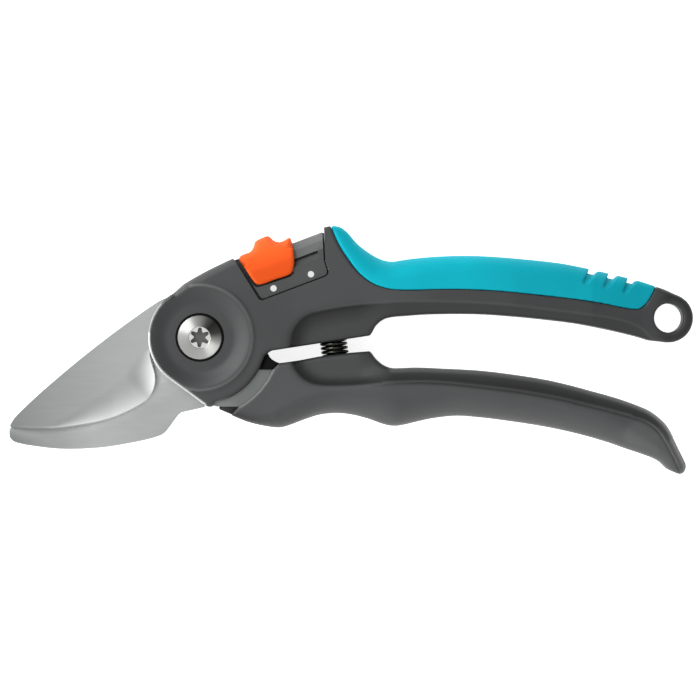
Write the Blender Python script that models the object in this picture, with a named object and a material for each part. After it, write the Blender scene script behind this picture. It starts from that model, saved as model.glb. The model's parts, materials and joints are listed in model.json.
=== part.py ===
"""Bypass pruner, closed and locked, lying on its side.

Standalone Blender 4.5 script. The pivot axis is the world Z axis, +X runs along the handles,
+Y runs from the lower handle to the upper one, and Z = 0 is the flat outer face of the pivot nut.
All sizes below are millimetres and are turned into metres when a mesh is made. Heights called
"level" are measured from the shear plane between the two blades, at Z = SHEAR_PLANE.
"""

import math

import bmesh
import bpy
from mathutils import Matrix, Vector

MM = 0.001

# ---------------------------------------------------------------- driving dimensions
SHEAR_PLANE = 10.0
GAP = 0.3
ROUND_SIDES = 32

BLADE_THICK = 3.0
HOOK_THICK = 4.0
FACE_PLAY = 0.15

BOSS_RADIUS = 16.4
BOSS_LEVEL = 8.8
DISH_LEVEL = 7.8
DISH_RADII = (12.0, 14.4)
CHEEK_RADIUS = 21.4
CHEEK_LEVEL = 4.25
NOSE_RADIUS = 25.4
REAR_NOSE_RADIUS = 23.0
BLADE_DISC = 15.8
BLADE_POCKET = 17.8

SCREW_HEAD = 7.0
SCREW_SHANK = 4.0
SCREW_TOP = 8.3
BUSH_RADIUS = 5.4
BUSH_CUP = 7.6
WASHER_RADIUS = 12.0
NUT_ACROSS_FLATS = 13.0

EYE_CENTRE = (149.5, 6.2)
EYE_RADIUS = 7.9
EYE_HOLE = 4.65

SPRING_RADIUS = 4.0
SPRING_WIRE = 1.0
SPRING_TURNS = 9
SPRING_POCKET = 5.0
SPRING_MIDDLE = (42.8, -3.3)
SPRING_TILT = 98.0
SPRING_REACH = 8.3

LOCK_ANGLE = 20.7
RAIL_TOP = 17.7
RAIL_STEP = 12.3
RAIL_EDGE = 15.2
RAIL_LEVEL = 6.6
RAIL_TOP_LEVEL = 4.6
PLATE_LEVEL = 7.8
PLATE_FOOT = 8.1
HOUSING_FOOT = 4.2

BUFFER_PEG_LEVEL = -5.0
SKIN = 1.8
SEAT_LEVEL = 6.4

COLOURS = {
    "graphite_plastic": ((0.070, 0.072, 0.072, 1), 0.55, 0.0),
    "turquoise_soft": ((0.0, 0.45, 0.54, 1), 0.65, 0.0),
    "orange_plastic": ((0.93, 0.15, 0.03, 1), 0.40, 0.0),
    "ground_steel": ((0.62, 0.63, 0.63, 1), 0.30, 1.0),
    "spring_steel": ((0.12, 0.12, 0.11, 1), 0.35, 1.0),
    "black_rubber": ((0.01, 0.01, 0.01, 1), 0.80, 0.0),
}


# ---------------------------------------------------------------- drawing in the plane
def smooth_through(points, steps=4):
    """Points along a Catmull-Rom curve through the given ones."""
    ends = [points[0], *points, points[-1]]
    curve = []
    for a, b, c, d in zip(ends, ends[1:], ends[2:], ends[3:]):
        for i in range(steps):
            t = i / steps
            point = []
            for p, q, r, s in zip(a, b, c, d):
                square, cube = 2 * p - 5 * q + 4 * r - s, 3 * q - p - 3 * r + s
                point.append(0.5 * (2 * q + (r - p) * t + square * t**2 + cube * t**3))
            curve.append(tuple(point))
    curve.append(tuple(points[-1]))
    return curve


def arc(centre, radius, start, end, steps):
    """Points on a circle from the start angle to the end angle, in degrees."""
    angles = [math.radians(start + (end - start) * i / steps) for i in range(steps + 1)]
    return [(centre[0] + radius * math.cos(a), centre[1] + radius * math.sin(a)) for a in angles]


def along_lock(s, v):
    """A point in the row frame from its distance along the lock's slide and across it."""
    a = math.radians(LOCK_ANGLE)
    return (s * math.cos(a) - v * math.sin(a), s * math.sin(a) + v * math.cos(a))


def blend_of(knots, x):
    """The value at x on a polyline of (x, value) knots."""
    for (x0, v0), (x1, v1) in zip(knots, knots[1:]):
        if x <= x1:
            t = min(1.0, max(0.0, (x - x0) / (x1 - x0)))
            return v0 + (v1 - v0) * t
    return knots[-1][1]


def inward_normals(outline):
    """A unit vector into the outline at each point; the outline runs anticlockwise."""
    count = len(outline)
    found = []
    for i, here in enumerate(outline):
        before = Vector(here) - Vector(outline[i - 1])
        after = Vector(outline[(i + 1) % count]) - Vector(here)
        way = (before.normalized() + after.normalized()).normalized()
        found.append(Vector((-way.y, way.x)))
    return found


def inset(outline, distance):
    """The outline moved inwards by a distance, or outwards by a negative one."""
    return [tuple(Vector(p) + n * distance) for p, n in zip(outline, inward_normals(outline))]


# ---------------------------------------------------------------- solids
def mesh_object(name, points, faces):
    """A mesh object from points in millimetres."""
    mesh = bpy.data.meshes.new(name)
    mesh.from_pydata([Vector(p) * MM for p in points], [], faces)
    work = bmesh.new()
    work.from_mesh(mesh)
    bmesh.ops.recalc_face_normals(work, faces=work.faces)
    bmesh.ops.triangulate(work, faces=[f for f in work.faces if len(f.verts) > 4])
    work.to_mesh(mesh)
    work.free()
    made = bpy.data.objects.new(name, mesh)
    bpy.context.scene.collection.objects.link(made)
    return made


def stacked(name, rings):
    """A solid through rings of equal length, from the lowest to the highest, closed at both ends."""
    count = len(rings[0])
    points = [p for ring in rings for p in ring]
    faces = [tuple(range(count))[::-1], tuple(range(len(points) - count, len(points)))]
    for level in range(len(rings) - 1):
        low = level * count
        for i in range(count):
            j = (i + 1) % count
            faces.append((low + i, low + j, low + count + j, low + count + i))
    return mesh_object(name, points, faces)


def prism(name, outline, low, high, edge=0.0):
    """A plate with the outline's shape between two levels, its edges broken by a small chamfer."""
    steps = [(0.0, low), (0.0, high)]
    if edge:
        steps = [(edge, low), (0.0, low + edge), (0.0, high - edge), (edge, high)]
    rings = [[(x, y, SHEAR_PLANE + z) for x, y in inset(outline, d)] for d, z in steps]
    return stacked(name, rings)


def turned(name, profile, centre=(0.0, 0.0), sides=ROUND_SIDES):
    """A solid of revolution about an upright axis, from (radius, level) pairs running upwards."""
    rings = []
    for radius, level in profile:
        circle = arc(centre, radius, 0, 360 - 360 / sides, sides - 1)
        rings.append([(x, y, SHEAR_PLANE + level) for x, y in circle])
    return stacked(name, rings)


def moulded(name, outline, rounding, half):
    """A thick body whose edges are rounded, its half thickness following a rule along X."""
    normals = inward_normals(outline)
    rings = []
    turns = (90, 60, 30, 0)
    for side, angles in ((-1, turns), (1, turns[::-1])):
        for angle in angles:
            a = math.radians(angle)
            ring = []
            for (x, y), n, r in zip(outline, normals, rounding):
                drawn_in = r * (1 - math.cos(a))
                level = half(x) - r + r * math.sin(a)
                ring.append((x + n.x * drawn_in, y + n.y * drawn_in, SHEAR_PLANE + side * level))
            rings.append(ring)
    return stacked(name, rings)


def tilted_cylinder(name, foot, way, radius, length, sides=ROUND_SIDES, level=0.0):
    """A round bar lying parallel to the shear plane, from its foot along an angle in degrees."""
    a = math.radians(way)
    bar = turned(name, [(radius, 0.0), (radius, length)], sides=sides)
    bar.data.transform(Matrix.Translation((0, 0, -SHEAR_PLANE * MM)))
    lean = Matrix.Rotation(math.pi / 2, 4, Vector((-math.sin(a), math.cos(a), 0)))
    bar.data.transform(Matrix.Translation(Vector((foot[0], foot[1], SHEAR_PLANE + level)) * MM) @ lean)
    return bar


def combine(body, tool, operation):
    """Applies one Boolean to the body and removes the tool."""
    step = body.modifiers.new(operation.lower(), "BOOLEAN")
    step.operation = operation
    step.object = tool
    step.solver = "EXACT"
    graph = bpy.context.evaluated_depsgraph_get()
    made = bpy.data.meshes.new_from_object(body.evaluated_get(graph))
    body.modifiers.clear()
    body.data = made
    bpy.data.objects.remove(tool)
    return body


def cut(body, *tools):
    for tool in tools:
        combine(body, tool, "DIFFERENCE")
    return body


def join(body, *tools):
    for tool in tools:
        combine(body, tool, "UNION")
    return body


def keep(body, tool):
    return combine(body, tool, "INTERSECT")


def finish(body, colour, group, origin=(0.0, 0.0, 0.0)):
    """Gives the body its material, its origin and its parent, and shades its round faces smooth."""
    colour_value, roughness, metallic = COLOURS[colour]
    material = bpy.data.materials.get(colour) or bpy.data.materials.new(colour)
    material.use_nodes = True
    shader = material.node_tree.nodes["Principled BSDF"]
    shader.inputs["Base Color"].default_value = colour_value
    shader.inputs["Roughness"].default_value = roughness
    shader.inputs["Metallic"].default_value = metallic
    body.data.materials.clear()
    body.data.materials.append(material)
    body.data.shade_smooth()
    body.data.set_sharp_from_angle(angle=math.radians(35))
    place = Vector(origin) * MM
    body.data.transform(Matrix.Translation(-place))
    body.parent = group
    body.location = place - group.location
    return body


def group_at(name, point):
    """An empty on a joint's axis, which the pieces of one moving body hang from."""
    made = bpy.data.objects.new(name, None)
    made.location = Vector(point) * MM
    bpy.context.scene.collection.objects.link(made)
    return made


# ---------------------------------------------------------------- outlines
UPPER_TOP_EDGE = [
    (151.5, 13.9), (148.3, 15.2), (145.4, 16.2), (140.6, 17.8), (127.8, 21.1), (115.0, 23.5), (102.2, 25.1),
    (89.4, 25.9), (76.6, 25.8), (66.4, 24.8), (61.3, 24.2), (57.4, 25.0), (53.6, 27.2), (50.0, 30.2),
    (47.2, 33.1), (45.0, 35.0), (42.4, 35.5), (39.2, 35.0),
]
HEAD_TOP_EDGE = [(11.4, 25.4), (7.5, 23.7), (2.4, 21.4), (-2.7, 18.6), (-7.4, 15.6)]
UPPER_INNER_EDGE = [
    (54.4, 0.7), (56.2, 3.7), (58.7, 5.7), (61.5, 6.4), (76.6, 7.4), (89.4, 7.4), (102.2, 6.4),
    (115.0, 5.0), (127.8, 2.9), (135.5, 1.1), (140.6, -0.2), (145.0, -1.3),
]
LOWER_OUTER_EDGE = [
    (9.9, -24.8), (15.2, -26.9), (20.3, -28.3), (25.4, -28.9), (29.4, -27.9), (33.1, -26.2), (38.2, -24.6),
    (43.4, -24.2), (48.5, -24.8), (53.6, -26.1), (58.7, -27.8), (62.6, -28.3), (66.4, -27.7), (71.5, -26.4),
    (76.6, -25.6), (84.0, -25.2), (95.8, -26.4), (115.0, -29.6), (125.3, -32.2), (135.5, -35.5),
    (143.2, -38.2), (145.8, -39.4), (148.3, -41.3), (150.9, -42.7), (153.4, -43.6),
]
LOWER_INNER_EDGE = [
    (155.4, -40.3), (153.4, -36.2), (150.9, -31.4), (148.3, -27.5), (145.8, -24.8), (143.2, -23.2),
    (135.5, -20.2), (127.8, -17.8), (115.0, -14.6), (102.2, -12.2), (89.4, -10.6), (76.6, -9.9),
    (66.4, -9.6), (61.3, -9.7), (58.7, -8.9), (56.2, -7.0), (54.6, -4.6),
]
UPPER_CREASE = [
    (29.0, -4.5), (29.2, -1.5), (30.4, 1.2), (32.8, 3.8), (37.6, 6.9), (44.6, 9.0), (54.2, 9.9),
    (63.8, 10.9), (73.4, 11.6), (89.4, 11.6), (102.2, 10.2), (115.0, 8.6), (127.8, 6.4), (134.2, 5.0),
    (140.6, 2.2), (146.0, -1.5),
]
LOWER_CREASE = [
    (28.8, -5.5), (29.2, -8.5), (30.4, -11.2), (32.8, -13.8), (37.0, -15.4), (46.2, -15.7), (57.4, -14.7),
    (73.4, -14.1), (86.2, -14.9), (95.8, -16.2), (108.6, -18.1), (121.4, -20.8), (131.0, -23.4),
    (137.4, -25.6), (143.2, -28.4), (147.0, -32.3), (150.0, -36.5), (155.0, -43.5),
]
SOFT_EDGE = [
    (41.9, 37.0), (42.2, 34.5), (43.4, 31.4), (45.3, 27.8), (48.2, 23.6), (51.0, 20.2), (54.0, 17.8),
    (57.5, 16.1), (62.0, 15.2), (70.2, 15.0), (83.0, 15.2), (95.8, 14.6), (108.6, 13.3), (121.4, 11.7),
    (131.0, 10.1), (136.8, 9.1), (139.6, 9.0), (141.6, 9.9), (143.2, 11.8), (144.5, 14.1), (146.2, 18.0),
]
BLADE_EDGE = [
    (-59.6, -28.9), (-55.0, -29.9), (-50.4, -30.1), (-45.9, -29.8), (-40.4, -28.8), (-34.9, -27.7),
    (-29.4, -26.1), (-23.9, -23.8), (-19.4, -21.8), (-16.2, -19.5), (-14.3, -16.5), (-13.9, -13.3),
    (-14.6, -9.6),
]
HOOK_BACK = [
    (-61.5, -30.7), (-61.3, -32.3), (-60.3, -33.3), (-56.5, -34.1), (-51.4, -34.9), (-46.2, -35.5),
    (-41.1, -35.8), (-36.0, -35.7), (-30.9, -35.3), (-25.8, -34.7), (-20.6, -33.8), (-15.5, -32.5),
    (-12.1, -31.3),
]
HOOK_INNER = [
    (-17.0, -6.5), (-17.6, -11.5), (-19.4, -16.0), (-23.0, -19.8), (-28.5, -22.7), (-36.0, -25.2),
    (-45.0, -27.0), (-54.0, -27.8), (-61.1, -28.6),
]


def upper_outline():
    """The upper handle seen from the screw's side, anticlockwise, with each point's edge rounding."""
    cheek = arc((0, 0), CHEEK_RADIUS, -74, -12, 12)
    inner = smooth_through(UPPER_INNER_EDGE, 2)
    eye = arc(EYE_CENTRE, EYE_RADIUS, -112, 68, 12)
    top = smooth_through(UPPER_TOP_EDGE, 2)
    head = smooth_through(HEAD_TOP_EDGE, 2)
    boss = arc((0, 0), BOSS_RADIUS, 120, 234, 14)
    tip = [(1.4, -21.3), (2.7, -22.0), (4.2, -21.7)]
    outline = cheek + inner + eye + top + head + boss + tip
    rounding = []
    for x, y in outline:
        palm = y > 14 and x > 40
        rounding.append(blend_of([(44, 2.0), (60, 6.0), (132, 5.5), (147, 1.5)], x) if palm else 1.5)
    return outline, rounding


def lower_outline():
    """The lower handle, anticlockwise from its nose, with each point's edge rounding."""
    outer = smooth_through(LOWER_OUTER_EDGE, 2)
    inner = smooth_through(LOWER_INNER_EDGE, 2)
    nose = [(25.2, -8.1), *arc((0, 0), NOSE_RADIUS, -22, -64, 10)]
    outline = outer + inner + nose
    outer_rounding = [blend_of([(12, 1.5), (26, 5.0), (130, 5.5), (153, 1.5)], x) for x, y in outer]
    return outline, outer_rounding + [1.5] * (len(inner) + len(nose))


def upper_half(x):
    return blend_of([(30, 8.8), (58, 9.3), (100, 9.4), (125, 8.6), (143, 5.8), (150, 5.4)], x)


def lower_half(x):
    return blend_of([(20, 8.8), (58, 9.3), (105, 9.4), (130, 8.8), (146, 7.6), (156, 5.6)], x)


def beyond(crease, far_y):
    """The region between a crease line and a level well past the handle's inner edge."""
    line = smooth_through(crease, 2)
    ends = [(line[-1][0], far_y), (line[0][0], far_y)]
    region = line + ends
    return region if far_y < crease[5][1] else region[::-1]


def step_cutters(name, crease, far_y):
    """Two cutters that lower the inner strip of a handle on both faces."""
    region = beyond(crease, far_y)
    area = sum(a[0] * b[1] - b[0] * a[1] for a, b in zip(region, region[1:] + region[:1]))
    if area < 0:
        region = region[::-1]
    return [prism(name, region, SEAT_LEVEL, 15), prism(name, region, -15, -SEAT_LEVEL)]


def soft_region(margin=0.0):
    """The part of the plan that the soft grip covers, as an anticlockwise outline."""
    line = smooth_through(SOFT_EDGE, 2)
    region = line + [(146.5, 60), (41.0, 60)]
    return inset(region, -margin)


def blade_outline(grow=0.0):
    """The cutting blade with its tang, anticlockwise from the tip along the edge."""
    edge = smooth_through(BLADE_EDGE, 3)
    throat = arc((0, 0), BLADE_DISC, 216, 250, 5)
    tang = [
        (5.0, -22.1), (26.0, -22.1), (32.0, -21.0), (76.0, -21.0), (78.0, -19.0), (78.0, -15.5),
        (76.0, -13.5), (38.0, -13.3), (32.0, -12.2), (27.0, -10.3), (13.5, -10.3),
    ]
    before_notch = arc((0, 0), BLADE_DISC, -32, 20, 8)
    notch = [along_lock(14.0, 6.2), along_lock(10.8, 6.2), along_lock(10.8, 10.8)]
    after_notch = arc((0, 0), BLADE_DISC, 64, 118, 8)
    spine = [(-11.4, 12.8), (-57.8, -24.0), (-59.4, -26.2)]
    outline = edge + throat + tang + before_notch + notch + after_notch + spine
    return inset(outline, -grow) if grow else outline


def hook_outline(grow=0.0):
    """The counter blade with its tang, anticlockwise from the hook's tip."""
    back = smooth_through(HOOK_BACK, 2)
    heel = [(-11.4, -30.6), (-7.4, -24.7), (-6.2, -24.0), (1.2, -22.3)]
    disc = arc((0, 0), BLADE_DISC, -84, -20, 9)
    tang = [(24.0, 1.0), (36.0, 7.2), (60.0, 11.2), (78.0, 12.0), (79.5, 13.5), (79.5, 17.0), (78.0, 18.5),
            (60.0, 18.0), (36.0, 14.6), (20.0, 10.4), (13.0, 9.6)]
    top = arc((0, 0), BLADE_DISC, 40, 190, 18)
    inner = smooth_through(HOOK_INNER, 2)
    outline = back + heel + disc + tang + top + inner
    return inset(outline, -grow) if grow else outline


def tang_holes(tang, level_from, level_to, radius):
    return [turned("hole", [(radius, level_from), (radius, level_to)], centre=p, sides=16) for p in tang]


BLADE_PINS = [(34.0, -17.2), (68.0, -17.2)]
HOOK_PINS = [(50.0, 13.2), (72.0, 15.2)]
PIN_RADIUS = 1.6


# ---------------------------------------------------------------- pieces of the head
def cutting_blade():
    low, high = FACE_PLAY, FACE_PLAY + BLADE_THICK
    blade = prism("cutting_blade", blade_outline(), low, high, edge=0.15)
    bore = turned("bore", [(BUSH_RADIUS + GAP, -9), (BUSH_RADIUS + GAP, 9)])
    return cut(blade, bore, *tang_holes(BLADE_PINS, -9, 9, PIN_RADIUS + GAP))


def counter_blade():
    low, high = -FACE_PLAY - HOOK_THICK, -FACE_PLAY
    hook = prism("counter_blade", hook_outline(), low, high, edge=0.25)
    bore = turned("bore", [(BUSH_RADIUS + GAP, -9), (BUSH_RADIUS + GAP, 9)])
    return cut(hook, bore, *tang_holes(HOOK_PINS, -9, 9, PIN_RADIUS + GAP))


def torx_recess(depth_from, depth_to):
    """The six-lobed drive recess as a cutter."""
    outline = []
    for i in range(48):
        a = math.radians(7.5 * i)
        radius = 2.35 + 0.55 * math.cos(6 * a)
        outline.append((radius * math.cos(a), radius * math.sin(a)))
    return prism("recess", outline, depth_from, depth_to)


def pivot_screw():
    head = 6.35
    screw = turned("pivot_screw", [
        (SCREW_SHANK - 0.6, -8.3), (SCREW_SHANK, -7.7), (SCREW_SHANK, head), (SCREW_HEAD - 0.2, head),
        (SCREW_HEAD, head + 0.2), (SCREW_HEAD, SCREW_TOP - 0.35), (SCREW_HEAD - 0.35, SCREW_TOP),
        (3.6, SCREW_TOP), (2.9, SCREW_TOP - 0.5),
    ])
    return cut(screw, torx_recess(4.8, 12))


def pivot_bush():
    """A black bearing sleeve whose flange is a cup round the screw's head."""
    body = turned("pivot_bush", [(BUSH_RADIUS, -4.1), (BUSH_RADIUS, 5.35), (BUSH_CUP, 5.35), (BUSH_CUP, 7.9)])
    inside = turned("inside", [
        (SCREW_SHANK + GAP, -9), (SCREW_SHANK + GAP, 6.05), (SCREW_HEAD + 0.2, 6.05), (SCREW_HEAD + 0.2, 12),
    ])
    return cut(body, inside)


def ring(name, inner, outer, low, high):
    body = turned(name, [(outer, low), (outer, high)])
    return cut(body, turned("inside", [(inner, low - 5), (inner, high + 5)]))


def hexagon(across_flats):
    return arc((0, 0), across_flats / math.sqrt(3), 0, 300, 5)


def pivot_nut():
    """A closed sleeve nut: a hexagon held in the rear cheek, with a flat round end."""
    nut = prism("pivot_nut", hexagon(NUT_ACROSS_FLATS), -8.6, -6.75, edge=0.2)
    cap = turned("cap", [(5.2, -SHEAR_PLANE), (6.0, -SHEAR_PLANE + 0.8), (6.0, -7.5)])
    join(nut, cap)
    thread = turned("thread", [(SCREW_SHANK + GAP, -8.7), (SCREW_SHANK + GAP, 0)])
    return cut(nut, thread)


# ---------------------------------------------------------------- upper handle
def soft_zone(grow):
    """The room that the soft grip takes: the covered part of the plan, less the hard core inside."""
    outline, rounding = upper_outline()
    core_outline = inset(outline, SKIN + grow)
    core_rounding = [max(0.6, r - SKIN) for r in rounding]
    core = moulded("core", core_outline, core_rounding, lambda x: upper_half(x) - SKIN - grow)
    return cut(prism("zone", soft_region(grow), -15, 15), core)


def groove_cutters():
    """Three slanting notches across the soft grip near the hanging eye."""
    cutters = []
    for x, y in ((131.0, 18.3), (136.4, 16.9), (141.6, 15.4)):
        corners = [(x - 1.1, y - 0.9), (x + 0.2, y - 1.1), (x + 2.6, y + 4.5), (x - 0.6, y + 4.5)]
        cutters.append(prism("groove", corners, -15, 15))
    return cutters


def soft_grip():
    outline, rounding = upper_outline()
    grip = moulded("soft_grip", outline, rounding, upper_half)
    keep(grip, soft_zone(0.0))
    return cut(grip, *groove_cutters())


def housing_outline(grow=0.0):
    corners = [(22.7, HOUSING_FOOT), (43.6, HOUSING_FOOT), (44.9, 5.2), (45.8, 8.6), (48.8, RAIL_TOP),
               (19.6, RAIL_TOP)]
    outline = [along_lock(s, v) for s, v in corners]
    return inset(outline, -grow) if grow else outline


def upper_handle():
    outline, rounding = upper_outline()
    body = moulded("upper_handle", outline, rounding, upper_half)
    cut(body, *step_cutters("step", UPPER_CREASE, -12.0))
    cut(body, soft_zone(GAP))
    blade_room = [(24.5, -9.9), *arc((0, 0), BLADE_POCKET, -33, 96, 18), (-12.0, 18.2), (-40, 30), (-40, -45),
                  (24.5, -45)]
    cut(body, prism("blade_room", blade_room, -GAP / 2, CHEEK_LEVEL))
    hook_room = prism("hook_room", hook_outline(GAP), -HOOK_THICK - FACE_PLAY - GAP, 0.0)
    cut(body, hook_room)
    floor, rim = DISH_RADII
    cut(body, turned("dish", [(floor, DISH_LEVEL), (rim, BOSS_LEVEL), (rim, BOSS_LEVEL + 2)]))
    cut(body, turned("rear_dish", [(rim, -BOSS_LEVEL - 2), (rim, -BOSS_LEVEL), (floor, -DISH_LEVEL)]))
    cut(body, turned("bore", [(BUSH_RADIUS + GAP, -4.6), (BUSH_RADIUS + GAP, 12)]))
    cut(body, turned("counterbore", [(BUSH_CUP + GAP, 5.05), (BUSH_CUP + GAP, 12)]))
    cut(body, turned("rear_bore", [(SCREW_SHANK + GAP, -12), (SCREW_SHANK + GAP, 0)]))
    cut(body, prism("nut_pocket", hexagon(NUT_ACROSS_FLATS + 2 * GAP), -12, -5.6))
    cut(body, prism("housing_room", lengthened_housing(), -15, 15))
    channel = [along_lock(s, v) for s, v in ((14, 6.1), (24, 6.1), (24, 10.9), (10, 10.9))]
    cut(body, prism("channel", channel, 0.3, 2.7))
    cut(body, turned("eye", [(EYE_HOLE, -15), (EYE_HOLE, 15)], centre=EYE_CENTRE))
    cut(body, spring_pocket(1))
    cut(body, *tang_holes(HOOK_PINS, -6.3, 2.6, PIN_RADIUS + GAP))
    return body


def lengthened_housing():
    """The notch for the lock housing, open at the top edge of the handle."""
    corners = [(22.7 - GAP, HOUSING_FOOT - GAP), (43.7, HOUSING_FOOT - GAP), (45.2, 5.0), (46.1, 8.5),
               (49.2, RAIL_TOP), (51.0, RAIL_TOP + 6), (17.6, RAIL_TOP + 6), (19.3, RAIL_TOP)]
    return [along_lock(s, v) for s, v in corners]


def spring_pocket(side):
    """The blind hole in a handle that holds one end of the return spring."""
    way = SPRING_TILT if side > 0 else SPRING_TILT + 180
    return tilted_cylinder("pocket", SPRING_MIDDLE, way, SPRING_POCKET, SPRING_REACH)


# ---------------------------------------------------------------- lower handle
def lower_handle():
    outline, rounding = lower_outline()
    body = moulded("lower_handle", outline, rounding, lower_half)
    cut(body, *step_cutters("step", LOWER_CREASE, 12.0))
    rear_nose = [(5.9, -23.2), (10.5, -25.1), *arc((0, 0), NOSE_RADIUS + 1.5, -62, -26, 8),
                 *arc((0, 0), REAR_NOSE_RADIUS, -26, -75.5, 10)]
    join(body, prism("rear_nose", rear_nose, -8.3, -HOOK_THICK - 2 * FACE_PLAY - GAP, edge=0.4))
    tang_room = [(0.0, -22.4), (26.1, -22.4), (32.1, -21.3), (76.1, -21.3), (78.3, -19.1), (78.3, -15.4),
                 (76.1, -13.2), (38.0, -13.0), (32.1, -11.9), (27.1, -10.0), (0.0, -10.0)]
    cut(body, prism("tang_room", tang_room, FACE_PLAY - GAP, FACE_PLAY + BLADE_THICK + GAP))
    cut(body, spring_pocket(-1))
    cut(body, *tang_holes(BLADE_PINS, -2.6, 6.2, PIN_RADIUS + GAP))
    peg_room = tilted_cylinder("peg_room", (21.0, -8.5), -22, 1.5 + GAP, 8.4, 16, BUFFER_PEG_LEVEL)
    return cut(body, peg_room)


def closing_buffer():
    """The rubber block at the throat between the handles, with a peg into the lower handle's nose."""
    left = arc((0, 0), CHEEK_RADIUS + 0.45, -26.6, -14.6, 4)
    hollow = [(22.4, -6.7), (23.5, -7.6), (24.6, -8.0)]
    right = arc((0, 0), NOSE_RADIUS - GAP, -19.3, -24.0, 2)
    outline = [(22.8, -10.0)] + right[::-1] + hollow[::-1] + left[::-1]
    block = prism("closing_buffer", outline, -8.0, 6.5, edge=0.25)
    return join(block, tilted_cylinder("peg", (23.0, -9.3), -22, 1.5, 6.0, 16, BUFFER_PEG_LEVEL))


# ---------------------------------------------------------------- return spring
def spring_seat(name, side):
    """A cup that centres one end of the return spring at the bottom of its pocket."""
    way = SPRING_TILT if side > 0 else SPRING_TILT + 180
    a = math.radians(way)

    def at(distance):
        return (SPRING_MIDDLE[0] + distance * math.cos(a), SPRING_MIDDLE[1] + distance * math.sin(a))

    disc = tilted_cylinder(name, at(SPRING_REACH - 1.3), way, SPRING_POCKET - GAP, 1.0)
    return join(disc, tilted_cylinder("peg", at(SPRING_REACH - 3.6), way, 2.4, 2.8, sides=20))


def return_spring():
    """A round-wire compression spring, drawn as a helix of six-sided wire."""
    turn_steps, wire_sides = 12, 6
    rise = 2 * (SPRING_REACH - 1.3 - GAP) - SPRING_WIRE
    tilt = math.radians(SPRING_TILT)
    axis = Vector((math.cos(tilt), math.sin(tilt), 0))
    across = Vector((math.sin(tilt), -math.cos(tilt), 0))
    upright = Vector((0, 0, 1))
    middle = Vector((*SPRING_MIDDLE, SHEAR_PLANE))
    count = SPRING_TURNS * turn_steps
    rings = []
    for i in range(count + 1):
        turn = 2 * math.pi * i / turn_steps
        spoke = across * math.cos(turn) + upright * math.sin(turn)
        centre = middle + axis * (rise * (i / count - 0.5)) + spoke * SPRING_RADIUS
        wire = [math.radians(60 * k) for k in range(wire_sides)]
        rings.append([centre + (spoke * math.cos(w) + axis * math.sin(w)) * SPRING_WIRE / 2 for w in wire])
    return stacked("return_spring", rings)


# ---------------------------------------------------------------- lock
def lock_bar(name, section, start, end):
    """A bar along the lock's slide, from a section of (across, level) points."""
    rings = []
    for s in (start, end):
        ring_points = []
        for v, level in section:
            x, y = along_lock(s, v)
            ring_points.append((x, y, SHEAR_PLANE + level))
        rings.append(ring_points)
    return stacked(name, rings)


def rail_section(grow):
    """The cross-section that the slider runs on: the plate's face, and the rail that rises behind it."""
    top = RAIL_TOP + grow
    half = [(PLATE_FOOT, PLATE_LEVEL + grow), (RAIL_STEP + grow, PLATE_LEVEL + grow),
            (RAIL_STEP + grow, RAIL_LEVEL + grow), (RAIL_EDGE, RAIL_LEVEL + grow),
            (top, RAIL_TOP_LEVEL + grow)]
    return half + [(v, -level) for v, level in reversed(half)]


def lock_housing():
    """The insert that closes the handle's top edge and carries the slider."""
    block = prism("lock_housing", housing_outline(), -PLATE_LEVEL, PLATE_LEVEL, edge=0.2)
    for side in (1, -1):
        above = [(v, side * level) for v, level in (
            (RAIL_STEP, RAIL_LEVEL), (RAIL_EDGE, RAIL_LEVEL), (RAIL_TOP + 0.2, RAIL_TOP_LEVEL - 0.2),
            (RAIL_TOP + 3, RAIL_TOP_LEVEL - 0.2), (RAIL_TOP + 3, 12), (RAIL_STEP, 12))]
        cut(block, lock_bar("side", above, 10, 60))
    slot = [(6.1, -2.7), (6.1, 2.7), (25, 2.7), (25, -2.7)]
    cut(block, lock_bar("slot", slot, 10, 45.4))
    return block


SLIDER_OUTLINE = [
    (12.4, 24.4), (17.4, 17.5), (18.4, 16.9), (29.0, 20.4), (29.8, 21.4), (30.1, 24.4), (29.7, 27.9),
    (28.9, 31.0), (28.5, 31.9), (27.2, 31.4), (24.8, 30.8), (23.2, 31.4), (21.1, 32.8), (17.4, 30.9),
    (17.0, 29.6), (16.2, 28.0), (15.0, 27.0), (13.4, 26.6), (12.3, 25.6),
]


def lock_slider():
    body = prism("lock_slider", SLIDER_OUTLINE, -9.2, 9.2, edge=0.5)
    cut(body, lock_bar("rail", rail_section(GAP), 5, 60))
    web = [(11.2, -2.4), (11.2, 2.4), (RAIL_TOP + 1.5, 2.4), (RAIL_TOP + 1.5, -2.4)]
    join(body, lock_bar("web", web, 24.0, 34.0))
    tab_room = [(9, 0.3), (9, 3.2), (15.3, 3.2), (15.3, 0.3)]
    return cut(body, lock_bar("tab_room", tab_room, 26.7, 31.3))


def lock_bolt():
    """The steel plate that the slider carries towards the notch in the cutting blade."""
    corners = [(15.0, 6.5), (34.0, 6.5), (34.0, 10.5), (31.0, 10.5), (31.0, 15.0), (27.0, 15.0), (27.0, 10.5),
               (15.0, 10.5)]
    return prism("lock_bolt", [along_lock(s, v) for s, v in corners], 0.6, 2.4, edge=0.15)


def detent_spring():
    """A bent leaf on the floor of the housing that holds the slider at either end."""
    line = [(24.0, 6.5), (32.0, 6.5), (34.5, 8.2), (36.0, 10.2), (37.5, 8.2), (40.0, 6.5), (44.0, 6.5)]
    top = [(s, v + 0.45) for s, v in line]
    outline = [along_lock(s, v) for s, v in line + top[::-1]]
    return prism("detent_spring", outline, -2.3, -0.2)


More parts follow.
